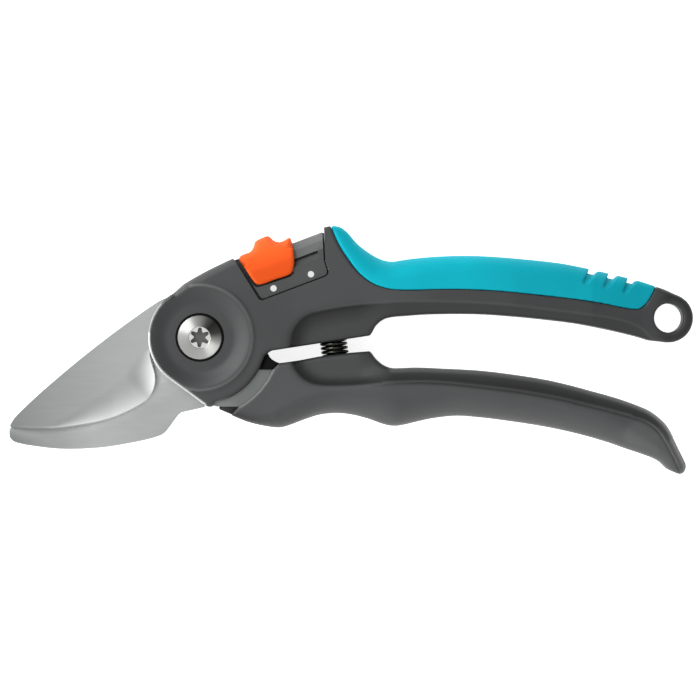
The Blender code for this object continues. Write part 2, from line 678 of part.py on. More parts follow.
# ---------------------------------------------------------------- assembly
def tang_pin(name, centre, low, high):
    return turned(name, [(PIN_RADIUS - 0.2, low), (PIN_RADIUS, low + 0.2), (PIN_RADIUS, high - 0.2),
                         (PIN_RADIUS - 0.2, high)], centre=centre, sides=16)


def main():
    for old in list(bpy.data.objects):
        bpy.data.objects.remove(old)
    pivot = (0.0, 0.0, SHEAR_PLANE)
    upper = group_at("upper_body", (0.0, 0.0, 0.0))
    lower = group_at("lower_body", pivot)
    lock = group_at("lock_body", (*along_lock(29.0, RAIL_TOP), SHEAR_PLANE))

    finish(upper_handle(), "graphite_plastic", upper, pivot)
    finish(soft_grip(), "turquoise_soft", upper, (90.0, 20.0, SHEAR_PLANE))
    finish(counter_blade(), "ground_steel", upper, pivot)
    for i, centre in enumerate(HOOK_PINS, 1):
        finish(tang_pin(f"hook_pin_{i}", centre, -6.0, 2.3), "ground_steel", upper, (*centre, SHEAR_PLANE))
    finish(pivot_screw(), "ground_steel", upper, pivot)
    finish(pivot_bush(), "black_rubber", upper, pivot)
    washer_foot = FACE_PLAY + BLADE_THICK + 0.15
    washer = ring("blade_washer", BUSH_RADIUS + GAP, WASHER_RADIUS, washer_foot, CHEEK_LEVEL - 0.15)
    finish(washer, "black_rubber", upper, pivot)
    finish(ring("lock_washer", SCREW_SHANK + GAP, 6.2, -6.5, -5.9), "spring_steel", upper, pivot)
    finish(pivot_nut(), "ground_steel", upper, pivot)
    finish(lock_housing(), "graphite_plastic", upper, (*along_lock(34, 10), SHEAR_PLANE))
    finish(detent_spring(), "spring_steel", upper, (*along_lock(36, 7), SHEAR_PLANE))
    finish(spring_seat("upper_spring_seat", 1), "graphite_plastic", upper, (*SPRING_MIDDLE, SHEAR_PLANE))
    finish(return_spring(), "spring_steel", upper, (*SPRING_MIDDLE, SHEAR_PLANE))

    finish(lower_handle(), "graphite_plastic", lower, pivot)
    finish(cutting_blade(), "ground_steel", lower, pivot)
    for i, centre in enumerate(BLADE_PINS, 1):
        finish(tang_pin(f"blade_pin_{i}", centre, -2.3, 5.9), "ground_steel", lower, (*centre, SHEAR_PLANE))
    finish(spring_seat("lower_spring_seat", -1), "graphite_plastic", lower, (*SPRING_MIDDLE, SHEAR_PLANE))
    finish(closing_buffer(), "black_rubber", lower, (23.0, -8.5, SHEAR_PLANE))

    lock_at = (*along_lock(29.0, RAIL_TOP), SHEAR_PLANE)
    finish(lock_slider(), "orange_plastic", lock, lock_at)
    finish(lock_bolt(), "ground_steel", lock, lock_at)


main()
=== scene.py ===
# %% [markdown]
# # A bypass pruner, closed and locked
#
# The pruner lies on one side. Its pivot is the Z axis, its handles run along +X, and the two blades
# meet in a plane that is parallel to the floor, called the shear plane here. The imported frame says
# where that plane is. All plans below are drawn in millimetres about the pivot, and every height is a
# "level" above or below the shear plane.

# %% Load the frame
import json
import math

import bmesh
import bpy
import numpy as np
from mathutils import Matrix, Vector
from mathutils.geometry import delaunay_2d_cdt

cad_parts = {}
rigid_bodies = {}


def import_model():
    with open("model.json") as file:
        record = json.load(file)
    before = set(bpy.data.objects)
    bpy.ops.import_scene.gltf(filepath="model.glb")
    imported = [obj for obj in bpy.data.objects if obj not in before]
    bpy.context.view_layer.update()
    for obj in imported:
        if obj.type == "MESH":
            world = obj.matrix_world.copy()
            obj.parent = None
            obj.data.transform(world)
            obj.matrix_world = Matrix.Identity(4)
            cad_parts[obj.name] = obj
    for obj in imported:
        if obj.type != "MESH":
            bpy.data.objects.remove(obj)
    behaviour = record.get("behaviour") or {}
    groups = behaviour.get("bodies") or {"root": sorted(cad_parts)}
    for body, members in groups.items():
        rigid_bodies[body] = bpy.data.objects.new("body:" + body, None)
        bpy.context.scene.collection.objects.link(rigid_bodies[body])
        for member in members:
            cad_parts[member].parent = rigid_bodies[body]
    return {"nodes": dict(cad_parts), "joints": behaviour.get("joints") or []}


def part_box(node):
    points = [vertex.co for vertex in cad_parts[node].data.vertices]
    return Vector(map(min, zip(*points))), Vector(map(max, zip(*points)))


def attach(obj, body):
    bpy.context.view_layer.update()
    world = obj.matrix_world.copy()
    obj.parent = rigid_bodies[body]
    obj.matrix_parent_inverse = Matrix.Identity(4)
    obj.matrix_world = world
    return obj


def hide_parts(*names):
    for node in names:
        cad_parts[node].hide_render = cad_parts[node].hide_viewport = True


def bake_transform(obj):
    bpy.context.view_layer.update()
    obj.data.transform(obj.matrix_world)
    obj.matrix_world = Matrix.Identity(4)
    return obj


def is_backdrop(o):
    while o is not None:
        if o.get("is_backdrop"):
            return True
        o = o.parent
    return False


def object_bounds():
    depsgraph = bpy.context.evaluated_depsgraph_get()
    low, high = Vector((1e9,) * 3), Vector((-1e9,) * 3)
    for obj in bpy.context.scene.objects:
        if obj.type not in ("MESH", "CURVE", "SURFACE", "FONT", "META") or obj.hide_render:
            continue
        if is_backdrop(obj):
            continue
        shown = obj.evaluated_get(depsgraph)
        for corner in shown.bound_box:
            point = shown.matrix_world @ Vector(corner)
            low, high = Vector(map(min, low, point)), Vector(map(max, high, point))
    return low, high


for old in list(bpy.data.objects):
    bpy.data.objects.remove(old)
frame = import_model()
CAD_LOW, CAD_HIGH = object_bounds()
MM = 0.001
SHEAR = frame["joints"][0]["pos_m"][2] / MM

# %% [markdown]
# ## Drawing smooth outlines
#
# Moulded handles and ground blades have flowing outlines. They could be Bezier curves, but a list of
# points with a smooth curve through them is easier to read and to correct. The curve is a centripetal
# Catmull-Rom spline, which passes through every point and doesn't overshoot where they are close.

# %% Curves in the plan
def between(p, q, times, t):
    """The point at time t on a straight run from p at the first time to q at the second."""
    return ((times[1] - t) * p + (t - times[0]) * q) / (times[1] - times[0])


def flowing(points, gap=0.5):
    """Points about every gap millimetres along a smooth curve through the given points."""
    given = np.array(points, float)
    ends = np.vstack([2 * given[0] - given[1], given, 2 * given[-1] - given[-2]])
    curve = []
    for a, b, c, d in zip(ends, ends[1:], ends[2:], ends[3:]):
        hops = [max(np.linalg.norm(q - p), 1e-6) ** 0.5 for p, q in ((a, b), (b, c), (c, d))]
        times = np.cumsum([0.0] + hops)
        steps = max(2, int(np.linalg.norm(c - b) / gap))
        for t in np.linspace(times[1], times[2], steps, endpoint=False):
            pairs = zip((a, b, c), (b, c, d), (times[0:2], times[1:3], times[2:4]))
            ab, bc, cd = (between(p, q, span, t) for p, q, span in pairs)
            abc, bcd = between(ab, bc, times[0:3:2], t), between(bc, cd, times[1:4:2], t)
            curve.append(between(abc, bcd, times[1:3], t))
    curve.append(given[-1])
    return [tuple(p) for p in curve]


def arc(radius, start, end, centre=(0.0, 0.0), gap=0.5):
    """Points along a circle between two angles in degrees."""
    steps = max(2, int(abs(math.radians(end - start)) * radius / gap))
    angles = np.radians(np.linspace(start, end, steps + 1))
    return [(centre[0] + radius * math.cos(a), centre[1] + radius * math.sin(a)) for a in angles]


LOCK_WAY = Vector(frame["joints"][1]["axis"])


def along_lock(s, v):
    """A point in the plan from its distance along the lock's slide and across it."""
    return (s * LOCK_WAY.x - v * LOCK_WAY.y, s * LOCK_WAY.y + v * LOCK_WAY.x)


def across_lock(x, y):
    """How far points of the plan lie across the lock's slide."""
    return y * LOCK_WAY.x - x * LOCK_WAY.y


print("a 90 degree arc of radius 16.4 has", len(arc(16.4, 0, 90)), "points")

# %% [markdown]
# ## Moulded forms from distances
#
# A moulded handle is nearly a flat shape with a thickness, but its edges are rounded by different
# amounts, it has a dish, soft steps and creases, and they all melt into each other. Sculpting could
# do that by hand. Here each form is written as a distance: for every point of a fine block of samples
# we ask how far it is from the outline and how far from the top surface, and combine the two with a
# rounding radius. The surface is where the answer is zero, and a "surface net" turns that into an even
# mesh: one vertex in each cell that the surface crosses, at the average of its crossings.

# %% Distances in the plan
class Samples:
    """A block of sample points, in millimetres, with levels measured from the shear plane."""

    def __init__(self, low, high, step):
        self.low, self.step = np.array(low, float), step
        counts = np.ceil((np.array(high) - self.low) / step).astype(int) + 1
        axes = [self.low[i] + step * np.arange(counts[i]) for i in range(3)]
        self.x, self.y = np.meshgrid(axes[0], axes[1], indexing="ij")
        self.level = axes[2][None, None, :]


def from_line(line, x, y, names=None):
    """Distance to an open line at each point, and on request the nearest segment's value."""
    best = np.full(x.shape, 1e9)
    found = np.zeros(x.shape) if names is not None else None
    for i, ((ax, ay), (bx, by)) in enumerate(zip(line, line[1:])):
        dx, dy = bx - ax, by - ay
        length = dx * dx + dy * dy
        if length == 0:
            continue
        t = np.clip(((x - ax) * dx + (y - ay) * dy) / length, 0, 1)
        d = np.hypot(x - ax - t * dx, y - ay - t * dy)
        if names is not None:
            found = np.where(d < best, names[i], found)
        best = np.minimum(best, d)
    return best if names is None else (best, found)


def within(outline, x, y):
    """True at each point inside a closed outline."""
    inside = np.zeros(x.shape, bool)
    for (ax, ay), (bx, by) in zip(outline, outline[1:] + outline[:1]):
        if ay != by:
            crosses = (ay > y) != (by > y)
            inside ^= crosses & (x < (bx - ax) * (y - ay) / (by - ay) + ax)
    return inside


def from_edge(outline, x, y):
    """Signed distance to a closed outline, negative inside."""
    distance = from_line(outline + outline[:1], x, y)
    return np.where(within(outline, x, y), -distance, distance)


def ramp(x, start, end):
    """A smooth step from 0 to 1."""
    t = np.clip((x - start) / (end - start), 0, 1)
    return t * t * (3 - 2 * t)


def both(a, b, radius):
    """The solid inside both distances, the edge between them rounded to a radius."""
    a, b = a + radius, b + radius
    return np.minimum(np.maximum(a, b), 0) + np.hypot(np.maximum(a, 0), np.maximum(b, 0)) - radius


def without(a, b, radius):
    """The solid a with the solid b taken out of it."""
    return both(a, -b, radius)


def surface_net(values, samples, evening=2):
    """Vertices in millimetres and quads on the zero level of a block of samples, facing outwards."""
    corners = [(i, j, k) for i in (0, 1) for j in (0, 1) for k in (0, 1)]
    sizes = np.array(values.shape) - 1

    def at(corner):
        """The value at one corner of every cell."""
        return values[tuple(slice(c, c + n) for c, n in zip(corner, sizes))]

    filled = sum((at(c) < 0).astype(np.int8) for c in corners)
    mixed = (filled > 0) & (filled < 8)
    index = np.full(mixed.shape, -1)
    index[mixed] = np.arange(mixed.sum())
    place, hits = np.zeros((mixed.sum(), 3)), np.zeros((mixed.sum(), 1))
    for a in corners:
        for axis in range(3):
            if a[axis]:
                continue
            b = tuple(1 if i == axis else c for i, c in enumerate(a))
            start, end = at(a)[mixed], at(b)[mixed]
            crossed = (start < 0) != (end < 0)
            t = np.where(crossed, start / np.where(crossed, start - end, 1), 0)
            point = np.tile(np.array(a, float), (len(t), 1))
            point[:, axis] += t
            place += np.where(crossed[:, None], point, 0)
            hits += crossed[:, None]
    verts = samples.low + (np.argwhere(mixed) + place / hits) * samples.step
    quads = []
    for order in ((0, 1, 2), (1, 2, 0), (2, 0, 1)):
        turned_values, turned_index = values.transpose(order), index.transpose(order)
        low = turned_values[:-1, 1:-1, 1:-1] < 0
        i, j, k = np.nonzero(low != (turned_values[1:, 1:-1, 1:-1] < 0))
        ring = [turned_index[i, j + a, k + b] for a, b in ((0, 0), (1, 0), (1, 1), (0, 1))]
        outward = low[i, j, k][:, None]
        quads.append(np.where(outward, np.stack(ring, 1), np.stack(ring[::-1], 1)))
    quads = np.vstack(quads)
    for _ in range(evening):
        for share in (0.5, -0.52):
            total, count = np.zeros_like(verts), np.zeros((len(verts), 1))
            for here, there in ((0, 1), (1, 2), (2, 3), (3, 0)):
                np.add.at(total, quads[:, here], verts[quads[:, there]])
                np.add.at(total, quads[:, there], verts[quads[:, here]])
                np.add.at(count, quads[:, here], 1)
                np.add.at(count, quads[:, there], 1)
            verts = verts + share * (total / count - verts)
    return verts, quads


# %% [markdown]
# ## Pieces with exact edges
#
# Blades, pins, the screw and the pockets inside the handles are machined or have crisp edges, so a
# mesh that follows their outline exactly suits them better: a stack of rings, one for each height.

# %% Solids from rings
def piece_from(name, points, faces):
    """A mesh object at the origin from plan points whose third number is a level, in millimetres."""
    mesh = bpy.data.meshes.new(name)
    placed = (np.array(points, float) + (0, 0, SHEAR)) * MM
    mesh.from_pydata(placed.tolist(), [], [tuple(int(i) for i in f) for f in faces])
    mesh.update()
    made = bpy.data.objects.new(name, mesh)
    bpy.context.scene.collection.objects.link(made)
    return made


def stacked(name, rings):
    """A closed solid through rings of equal length; the end faces stay flat, the sides are smooth."""
    count = len(rings[0])
    points = [p for ring in rings for p in ring]
    faces = [tuple(range(count))[::-1], tuple(range(len(points) - count, len(points)))]
    for start in range(0, len(points) - count, count):
        for i in range(count):
            j = (i + 1) % count
            faces.append((start + i, start + j, start + count + j, start + count + i))
    made = piece_from(name, points, faces)
    work = bmesh.new()
    work.from_mesh(made.data)
    bmesh.ops.recalc_face_normals(work, faces=work.faces)
    work.to_mesh(made.data)
    work.free()
    made.data.shade_smooth()
    for face in list(made.data.polygons)[:2]:
        face.use_smooth = False
    return made


def inward(outline):
    """The unit vector into an anticlockwise outline at each of its points."""
    points = np.array(outline, float)
    ahead = np.roll(points, -1, 0) - points
    ahead /= np.maximum(np.linalg.norm(ahead, axis=1, keepdims=True), 1e-9)
    way = ahead + np.roll(ahead, 1, 0)
    way /= np.maximum(np.linalg.norm(way, axis=1, keepdims=True), 1e-9)
    return np.stack([-way[:, 1], way[:, 0]], 1)


def anticlockwise(outline):
    """The same outline, reversed if it runs clockwise."""
    area = sum(a[0] * b[1] - b[0] * a[1] for a, b in zip(outline, outline[1:] + outline[:1]))
    return outline if area > 0 else outline[::-1]


def plate(name, outline, low, high, edge=0.0, turns=4):
    """A plate of the outline's shape between two levels, its edges rounded."""
    outline = anticlockwise(outline)
    points, normals = np.array(outline, float), inward(outline)
    steps = [(0.0, low), (0.0, high)]
    if edge:
        angles = [math.pi / 2 * i / turns for i in range(turns + 1)]
        lower = [(edge * (1 - math.cos(a)), low + edge - edge * math.sin(a)) for a in angles[::-1]]
        upper = [(edge * (1 - math.cos(a)), high - edge + edge * math.sin(a)) for a in angles]
        steps = lower + upper
    return stacked(name, [[(x, y, level) for x, y in points + normals * drawn] for drawn, level in steps])


def lathe(name, profile, centre=(0.0, 0.0), sides=96):
    """A turned solid about an upright axis, from (radius, level) pairs that run upwards."""
    return stacked(name, [
        [(centre[0] + r * math.cos(a), centre[1] + r * math.sin(a), level)
         for a in np.linspace(0, 2 * math.pi, sides, endpoint=False)]
        for r, level in profile
    ])


def shaped(body, tool, operation="DIFFERENCE"):
    """Applies one Boolean to a piece and removes its tool."""
    step = body.modifiers.new("cut", "BOOLEAN")
    step.operation = operation
    step.object = tool
    step.solver = "MANIFOLD"
    made = bpy.data.meshes.new_from_object(body.evaluated_get(bpy.context.evaluated_depsgraph_get()))
    body.modifiers.clear()
    body.data = made
    bpy.data.objects.remove(tool)
    return body


def moulded(name, values, samples):
    """A smooth piece from a block of distances."""
    made = piece_from(name, *surface_net(values, samples))
    made.data.shade_smooth()
    return made


def report(piece):
    """Prints a piece's size and how many triangles it has."""
    piece.data.calc_loop_triangles()
    size = [round(x / MM, 1) for x in piece.dimensions]
    print(f"{piece.name}: {len(piece.data.loop_triangles)} triangles, {size} mm")


# %% [markdown]
# ## Finishes
#
# Every finish starts from what the real one is. Colours are written as they look on a screen, so one
# function turns them into the linear values that the shader needs, and one function adds a node.

# %% Colour and node helpers
def linear(code):
    """A linear colour from a screen colour such as #4a4b4c."""
    parts = [int(code[i:i + 2], 16) / 255 for i in (1, 3, 5)]
    return tuple(c / 12.92 if c <= 0.04045 else ((c + 0.055) / 1.055) ** 2.4 for c in parts) + (1.0,)


def add(tree, kind, settings=None, **links):
    """Adds a node, sets its properties and input values, and links outputs into its inputs."""
    made = tree.nodes.new(kind)
    for key, value in (settings or {}).items():
        if isinstance(key, int) or key in made.inputs:
            made.inputs[key].default_value = value
        else:
            setattr(made, key, value)
    for key, source in links.items():
        name = key.replace("_", " ")
        socket = made.inputs[int(name[1:])] if name[1:].isdigit() else made.inputs[name]
        tree.links.new(source, socket)
    return made


def finish_named(name, base, rough, metal=0.0, **sockets):
    """A material with a Principled shader whose plain numbers are set on its own sockets."""
    material = bpy.data.materials.new(name)
    material.use_nodes = True
    shader = material.node_tree.nodes["Principled BSDF"]
    shader.inputs["Base Color"].default_value = linear(base)
    shader.inputs["Roughness"].default_value = rough
    shader.inputs["Metallic"].default_value = metal
    for key, value in sockets.items():
        shader.inputs[key.replace("_", " ")].default_value = value
    return material, material.node_tree, shader


def ramp_between(tree, factor, low, high, start=0.0, end=1.0, stops=()):
    """A colour ramp between two screen colours, with further (share, colour) stops between them."""
    made = add(tree, "ShaderNodeValToRGB", None, Fac=factor)
    made.color_ramp.elements[0].position = start
    made.color_ramp.elements[1].position = end
    made.color_ramp.elements[0].color = linear(low)
    made.color_ramp.elements[1].color = linear(high)
    for share, code in stops:
        made.color_ramp.elements.new(share).color = linear(code)
    return made.outputs["Color"]


MULTIPLY = {"data_type": "RGBA", "blend_type": "MULTIPLY"}


def noise(tree, place, scale, detail, rough):
    """Noise in object space; the scale is in cells for each metre."""
    settings = {"Scale": scale, "Detail": detail, "Roughness": rough}
    return add(tree, "ShaderNodeTexNoise", settings, Vector=place)


def roughened(tree, shader, source, low, high):
    """Lets a noise move the roughness between two values."""
    limits = {"From Min": 0.3, "From Max": 0.7, "To Min": low, "To Max": high}
    spread = add(tree, "ShaderNodeMapRange", limits, Value=source.outputs["Fac"])
    tree.links.new(spread.outputs[0], shader.inputs["Roughness"])


def embossed(tree, shader, source, strength, depth):
    """Lets a noise raise the surface by a depth in metres."""
    settings = {"Strength": strength, "Distance": depth}
    bump = add(tree, "ShaderNodeBump", settings, Height=source.outputs["Fac"])
    tree.links.new(bump.outputs["Normal"], shader.inputs["Normal"])


# %% [markdown]
# ** Spark-eroded polyamide.** The handles are glass-filled polyamide from a mould whose walls were
# spark eroded. That leaves a fine, even grain about a third of a millimetre across: it breaks up every
# reflection, so the plastic looks dark grey and matt, with only a soft sheen on its rounded edges. Two
# numbers on each vertex carry painted light: painted shade that darkens the inner facets and the
# creases, and a painted highlight that lightens rims that would catch the light.

# %% The handle plastic
def eroded_plastic(name, base, light, rough):
    """Glass-filled plastic with an even grain; a painted-shade attribute darkens facets and a
    painted-highlight attribute lightens rims.
    """
    material, tree, shader = finish_named(name, base, rough, IOR=1.53)
    place = add(tree, "ShaderNodeTexCoord").outputs["Object"]
    grain = noise(tree, place, 2600.0, 2.0, 0.6)
    flow = noise(tree, place, 55.0, 3.0, 0.5)
    mixed = add(tree, "ShaderNodeMath", {"operation": "MULTIPLY_ADD", 1: 0.35}, i0=grain.outputs["Fac"],
                i2=flow.outputs["Fac"])
    colour = ramp_between(tree, mixed.outputs[0], base, light, 0.45, 0.95)
    # Painted shade: the colour is multiplied down towards #7c7d7e where the shade attribute is 1.
    facet = add(tree, "ShaderNodeAttribute", {"attribute_name": "polished_facet"})
    shade = add(tree, "ShaderNodeMix", {**MULTIPLY, 7: linear("#7c7d7e")}, i0=facet.outputs["Fac"], i6=colour)
    # Painted highlight: the colour is mixed towards #b4b5b5 where the highlight attribute is 1.
    highlight_share = add(tree, "ShaderNodeAttribute", {"attribute_name": "rubbed_edge"})
    painted_light = add(tree, "ShaderNodeMix", {"data_type": "RGBA", 7: linear("#b4b5b5")}, i0=highlight_share.outputs["Fac"],
               i6=shade.outputs[2])
    tree.links.new(painted_light.outputs[2], shader.inputs["Base Color"])
    embossed(tree, shader, grain, 0.22, 0.00006)
    roughened(tree, shader, flow, rough - 0.05, rough + 0.06)
    return material


HANDLE_PLASTIC = eroded_plastic("spark_eroded_polyamide", "#303132", "#373839", 0.52)
# The lower handle's plastic is the same polyamide painted lighter, for the light that falls on it.
LOWER_PLASTIC_PAINTED_LIGHTER = eroded_plastic("spark_eroded_polyamide_lower", "#393a3b", "#414243", 0.5)
# The rail is the insert's acetal painted lighter, for the light that falls on its top.
RAIL_PLASTIC_PAINTED_LIGHTER = eroded_plastic("rubbed_acetal_rail", "#5c5e5d", "#666867", 0.4)
INSERT_PLASTIC = eroded_plastic("smooth_acetal_insert", "#3b3f3e", "#414544", 0.46)

# %% [markdown]
# **Soft grip.** The turquoise skin is a thermoplastic elastomer moulded over the handle. Rubbery
# surfaces have a dull, slightly velvety sheen and hardly any highlight. The slider's orange acetal is
# just as dull.

# %% The soft grip and the lock's plastic
def soft_skin(name, base, light):
    """A dull, slightly velvety skin with painted shade that darkens it a little towards the handle's end."""
    material, tree, shader = finish_named(name, base, 0.6, IOR=1.5, Specular_IOR_Level=0.12)
    place = add(tree, "ShaderNodeTexCoord").outputs["Object"]
    pores = noise(tree, place, 3200.0, 1.0, 0.5)
    cloud = noise(tree, place, 40.0, 2.0, 0.5)
    colour = ramp_between(tree, cloud.outputs["Fac"], base, light, 0.35, 0.75)
    along = add(tree, "ShaderNodeSeparateXYZ", None, Vector=place)
    # Painted shade: darker towards +X, where the grip turns away from the light.
    spot = add(tree, "ShaderNodeMapRange", {"From Min": 0.06, "From Max": 0.14}, Value=along.outputs["X"])
    painted_end_shade = ramp_between(tree, spot.outputs[0], "#ffffff", "#e6eaea")
    toned = add(tree, "ShaderNodeMix", {**MULTIPLY, 0: 1.0}, i6=colour, i7=painted_end_shade)
    tree.links.new(toned.outputs[2], shader.inputs["Base Color"])
    embossed(tree, shader, pores, 0.18, 0.00005)
    return material


SOFT_SKIN = soft_skin("turquoise_elastomer", "#00a5b7", "#00acbe")
LOCK_PLASTIC = soft_skin("orange_acetal", "#db4f13", "#e35518")

# %% [markdown]
# ** Ground stainless steel.** The blades are ground with a fine wheel, then polished. Grinding leaves
# straight scratches a tenth of a millimetre apart, drawn a little coarser here so that they show. A
# flat blade mirrors a light tent unevenly; that changing reflection is painted into its colour as tones
# along X. Each vertex of the cutting blade carries how far it is into the ground band, and the band is
# painted near-white, a painted reflection of the hollow grind.

# %% The steels
def ground_steel(name, base, light, rough, turn, stretch=28.0, tones=(), band=None):
    """Steel with scratches along one way, painted reflection tones at given X in millimetres, and a painted
    brighter band.
    """
    material, tree, shader = finish_named(name, base, rough, 1.0)
    place = add(tree, "ShaderNodeTexCoord").outputs["Object"]
    lay = add(tree, "ShaderNodeMapping", {"Rotation": (0, 0, math.radians(turn)),
                                          "Scale": (90.0, 90.0 * stretch, 90.0)}, Vector=place)
    scratch = noise(tree, lay.outputs[0], 1.0, 4.0, 0.7)
    haze = noise(tree, place, 30.0, 2.0, 0.5)
    tone = add(tree, "ShaderNodeMath", {"operation": "MULTIPLY_ADD", 1: 0.5}, i0=scratch.outputs["Fac"],
               i2=haze.outputs["Fac"])
    colour = ramp_between(tree, tone.outputs[0], base, light, 0.5, 1.0)
    # Painted reflection: tones along X stand in for the tent's uneven reflection in the flat steel.
    if tones:
        along = add(tree, "ShaderNodeSeparateXYZ", None, Vector=place)
        first, last = tones[0][0], tones[-1][0]
        spot = add(tree, "ShaderNodeMapRange", {"From Min": first * MM, "From Max": last * MM},
                   Value=along.outputs["X"])
        stops = [((x - first) / (last - first), code) for x, code in tones[1:-1]]
        painted_light = ramp_between(tree, spot.outputs[0], tones[0][1], tones[-1][1], stops=stops)
        colour = add(tree, "ShaderNodeMix", {**MULTIPLY, 0: 1.0}, i6=colour, i7=painted_light).outputs[2]
    # Painted reflection: the band's attribute mixes the colour towards near-white #fafcfb.
    if band:
        edge = add(tree, "ShaderNodeAttribute", {"attribute_name": band})
        colour = add(tree, "ShaderNodeMix", {"data_type": "RGBA", 7: linear("#fafcfb")},
                     i0=edge.outputs["Fac"], i6=colour).outputs[2]
    tree.links.new(colour, shader.inputs["Base Color"])
    roughened(tree, shader, scratch, rough - 0.02, rough + 0.03)
    embossed(tree, shader, scratch, 0.035, 0.00003)
    return material


# Painted reflection along X of the cutting blade, from its tip to its tang.
BLADE_PAINTED_REFLECTION = [(-62, "#b6b7b6"), (-48, "#d0d2d1"), (-30, "#e6e8e7"), (-14, "#f4f4f4"), (0, "#d8d8d8"),
               (12, "#acb0af")]
BLADE_STEEL = ground_steel("ground_blade_steel", "#c4c6c5", "#cdcfce", 0.30, -38, tones=BLADE_PAINTED_REFLECTION,
                           band="ground_band")
# Painted reflection along X of the counter blade.
HOOK_PAINTED_REFLECTION = [(-62, "#a8aaa9"), (-50, "#d4d6d5"), (-34, "#fafafa"), (-20, "#f2f4f3"), (-6, "#fafafa")]
HOOK_STEEL = ground_steel("ground_hook_steel", "#bcbebd", "#c8cac9", 0.34, 80, stretch=14.0, tones=HOOK_PAINTED_REFLECTION)
PLAIN_STEEL = ground_steel("machined_steel", "#a9aaa9", "#b6b7b6", 0.35, 0)

# Painted reflections: the lathe's light and dark wedges round the screw head.
SCREW_PAINTED_WEDGES = [
    (0.0, "#ccccc9"), (0.125, "#c2c2bf"), (0.25, "#c6c6c3"), (0.36, "#b8b8b5"), (0.43, "#aaaaa7"),
    (0.486, "#929290"), (0.54, "#4c4c4a"), (0.625, "#343432"), (0.68, "#5c5c5a"), (0.75, "#a2a29f"),
    (0.833, "#bebebb"), (0.917, "#cacac7"), (1.0, "#ccccc9"),
]


def turned_steel():
    """Faced on a lathe: the rings stretch every reflection into a wedge that points at the middle; the wedges
    are also painted into the colour.
    """
    material, tree, shader = finish_named("turned_screw_steel", "#c6c6c3", 0.42, 1.0, Anisotropic=0.95)
    place = add(tree, "ShaderNodeTexCoord").outputs["Object"]
    outward = add(tree, "ShaderNodeVectorMath", {"operation": "MULTIPLY", 1: (1.0, 1.0, 0.0)}, i0=place)
    tree.links.new(outward.outputs[0], shader.inputs["Tangent"])
    sweep = add(tree, "ShaderNodeTexGradient", {"gradient_type": "RADIAL"}, Vector=place)
    painted_wedges = ramp_between(tree, sweep.outputs["Fac"], SCREW_PAINTED_WEDGES[0][1], SCREW_PAINTED_WEDGES[-1][1],
                         stops=SCREW_PAINTED_WEDGES[1:-1])
    tree.links.new(painted_wedges, shader.inputs["Base Color"])
    return material


SCREW_STEEL = turned_steel()
# Painted shade in the drive and a painted highlight on the flat middle of the screw head.
DRIVE_PAINTED_SHADE = finish_named("dark_forged_drive", "#6c6c68", 0.35, 1.0)[0]
CENTRE_PAINTED_HIGHLIGHT = finish_named("bright_screw_centre", "#e4e4e1", 0.3, 1.0)[0]


def dark_spring_steel():
    """Wire with a thin, cloudy film of black oxide."""
    material, tree, shader = finish_named("oil_hardened_spring_steel", "#3a3a36", 0.24, 1.0)
    place = add(tree, "ShaderNodeTexCoord").outputs["Object"]
    oxide = noise(tree, place, 700.0, 3.0, 0.6)
    colour = ramp_between(tree, oxide.outputs["Fac"], "#2b2b28", "#55554f", 0.35, 0.7)
    tree.links.new(colour, shader.inputs["Base Color"])
    return material


SPRING_STEEL = dark_spring_steel()


def black_rubber():
    """Matt black rubber with a fine skin."""
    material, tree, shader = finish_named("black_nitrile_rubber", "#070708", 0.7, Specular_IOR_Level=0.15)
    place = add(tree, "ShaderNodeTexCoord").outputs["Object"]
    skin = noise(tree, place, 2400.0, 2.0, 0.6)
    embossed(tree, shader, skin, 0.2, 0.00005)
    return material


BLACK_RUBBER = black_rubber()
PRINT_WHITE = finish_named("pad_printed_white_ink", "#dedfdd", 0.5)[0]
print("finishes:", len(bpy.data.materials))


def dress(piece, material, body, slot, *nodes, crease=None):
    """Gives a piece its material and body and hides the imported parts it stands in for; edges sharper than
    the crease angle stay crisp. The slot is not used.
    """
    if crease is not None:
        piece.data.set_sharp_from_angle(angle=math.radians(crease))
    piece.data.materials.clear()
    piece.data.materials.append(material)
    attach(piece, body)
    if nodes:
        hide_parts(*nodes)
    report(piece)
    return piece


# %% [markdown]
# ## The upper handle's form
#
# The upper handle is one moulding: a round boss with a dish for the screw, a straight head that holds
# the lock, a grip and a hanging eye. Its plan comes first, then a map of its half thickness: full
# over the main face, lower in the dish, dropping softly to a thinner ear round the return spring, and
# falling away as a flat facet along the inner edge of the grip.

# %% Plan of the upper handle
HANDLE_STEP, SLIDER_STEP = 0.42, 0.26  # distance between samples
DISH_LEVEL, CREST = 7.55, 0.5  # level of the dish, and how far the rim round it stands up
BOSS_RADIUS, CHEEK_RADIUS, DISH_RADIUS, NOSE_RADIUS = 16.4, 21.4, 16.3, 25.4
EYE_CENTRE, EYE_OUTER, EYE_HOLE = (149.5, 6.2), 7.85, 4.65
GRIP_BACK = [
    (151.6, 13.8), (148.3, 15.3), (145.4, 16.3), (140.6, 17.9), (134.2, 19.6), (127.8, 21.1), (121.4, 22.5),
    (115.0, 23.7), (102.2, 25.1), (92.0, 25.9), (84.3, 26.1), (76.6, 25.9), (69.0, 25.3), (63.8, 24.6),
    (61.3, 24.2), (58.7, 24.6), (56.2, 25.6), (53.6, 27.2), (51.0, 29.1), (49.1, 31.0), (47.2, 33.3),
    (45.0, 35.0), (43.4, 35.45), (41.8, 35.5), (39.2, 35.0),
]
HEAD_TOP = [(11.4, 25.5), (10.1, 25.0), (7.5, 23.8), (5.0, 22.6), (2.4, 21.3), (-0.2, 19.9), (-2.7, 18.5),
            (-5.3, 16.9)]
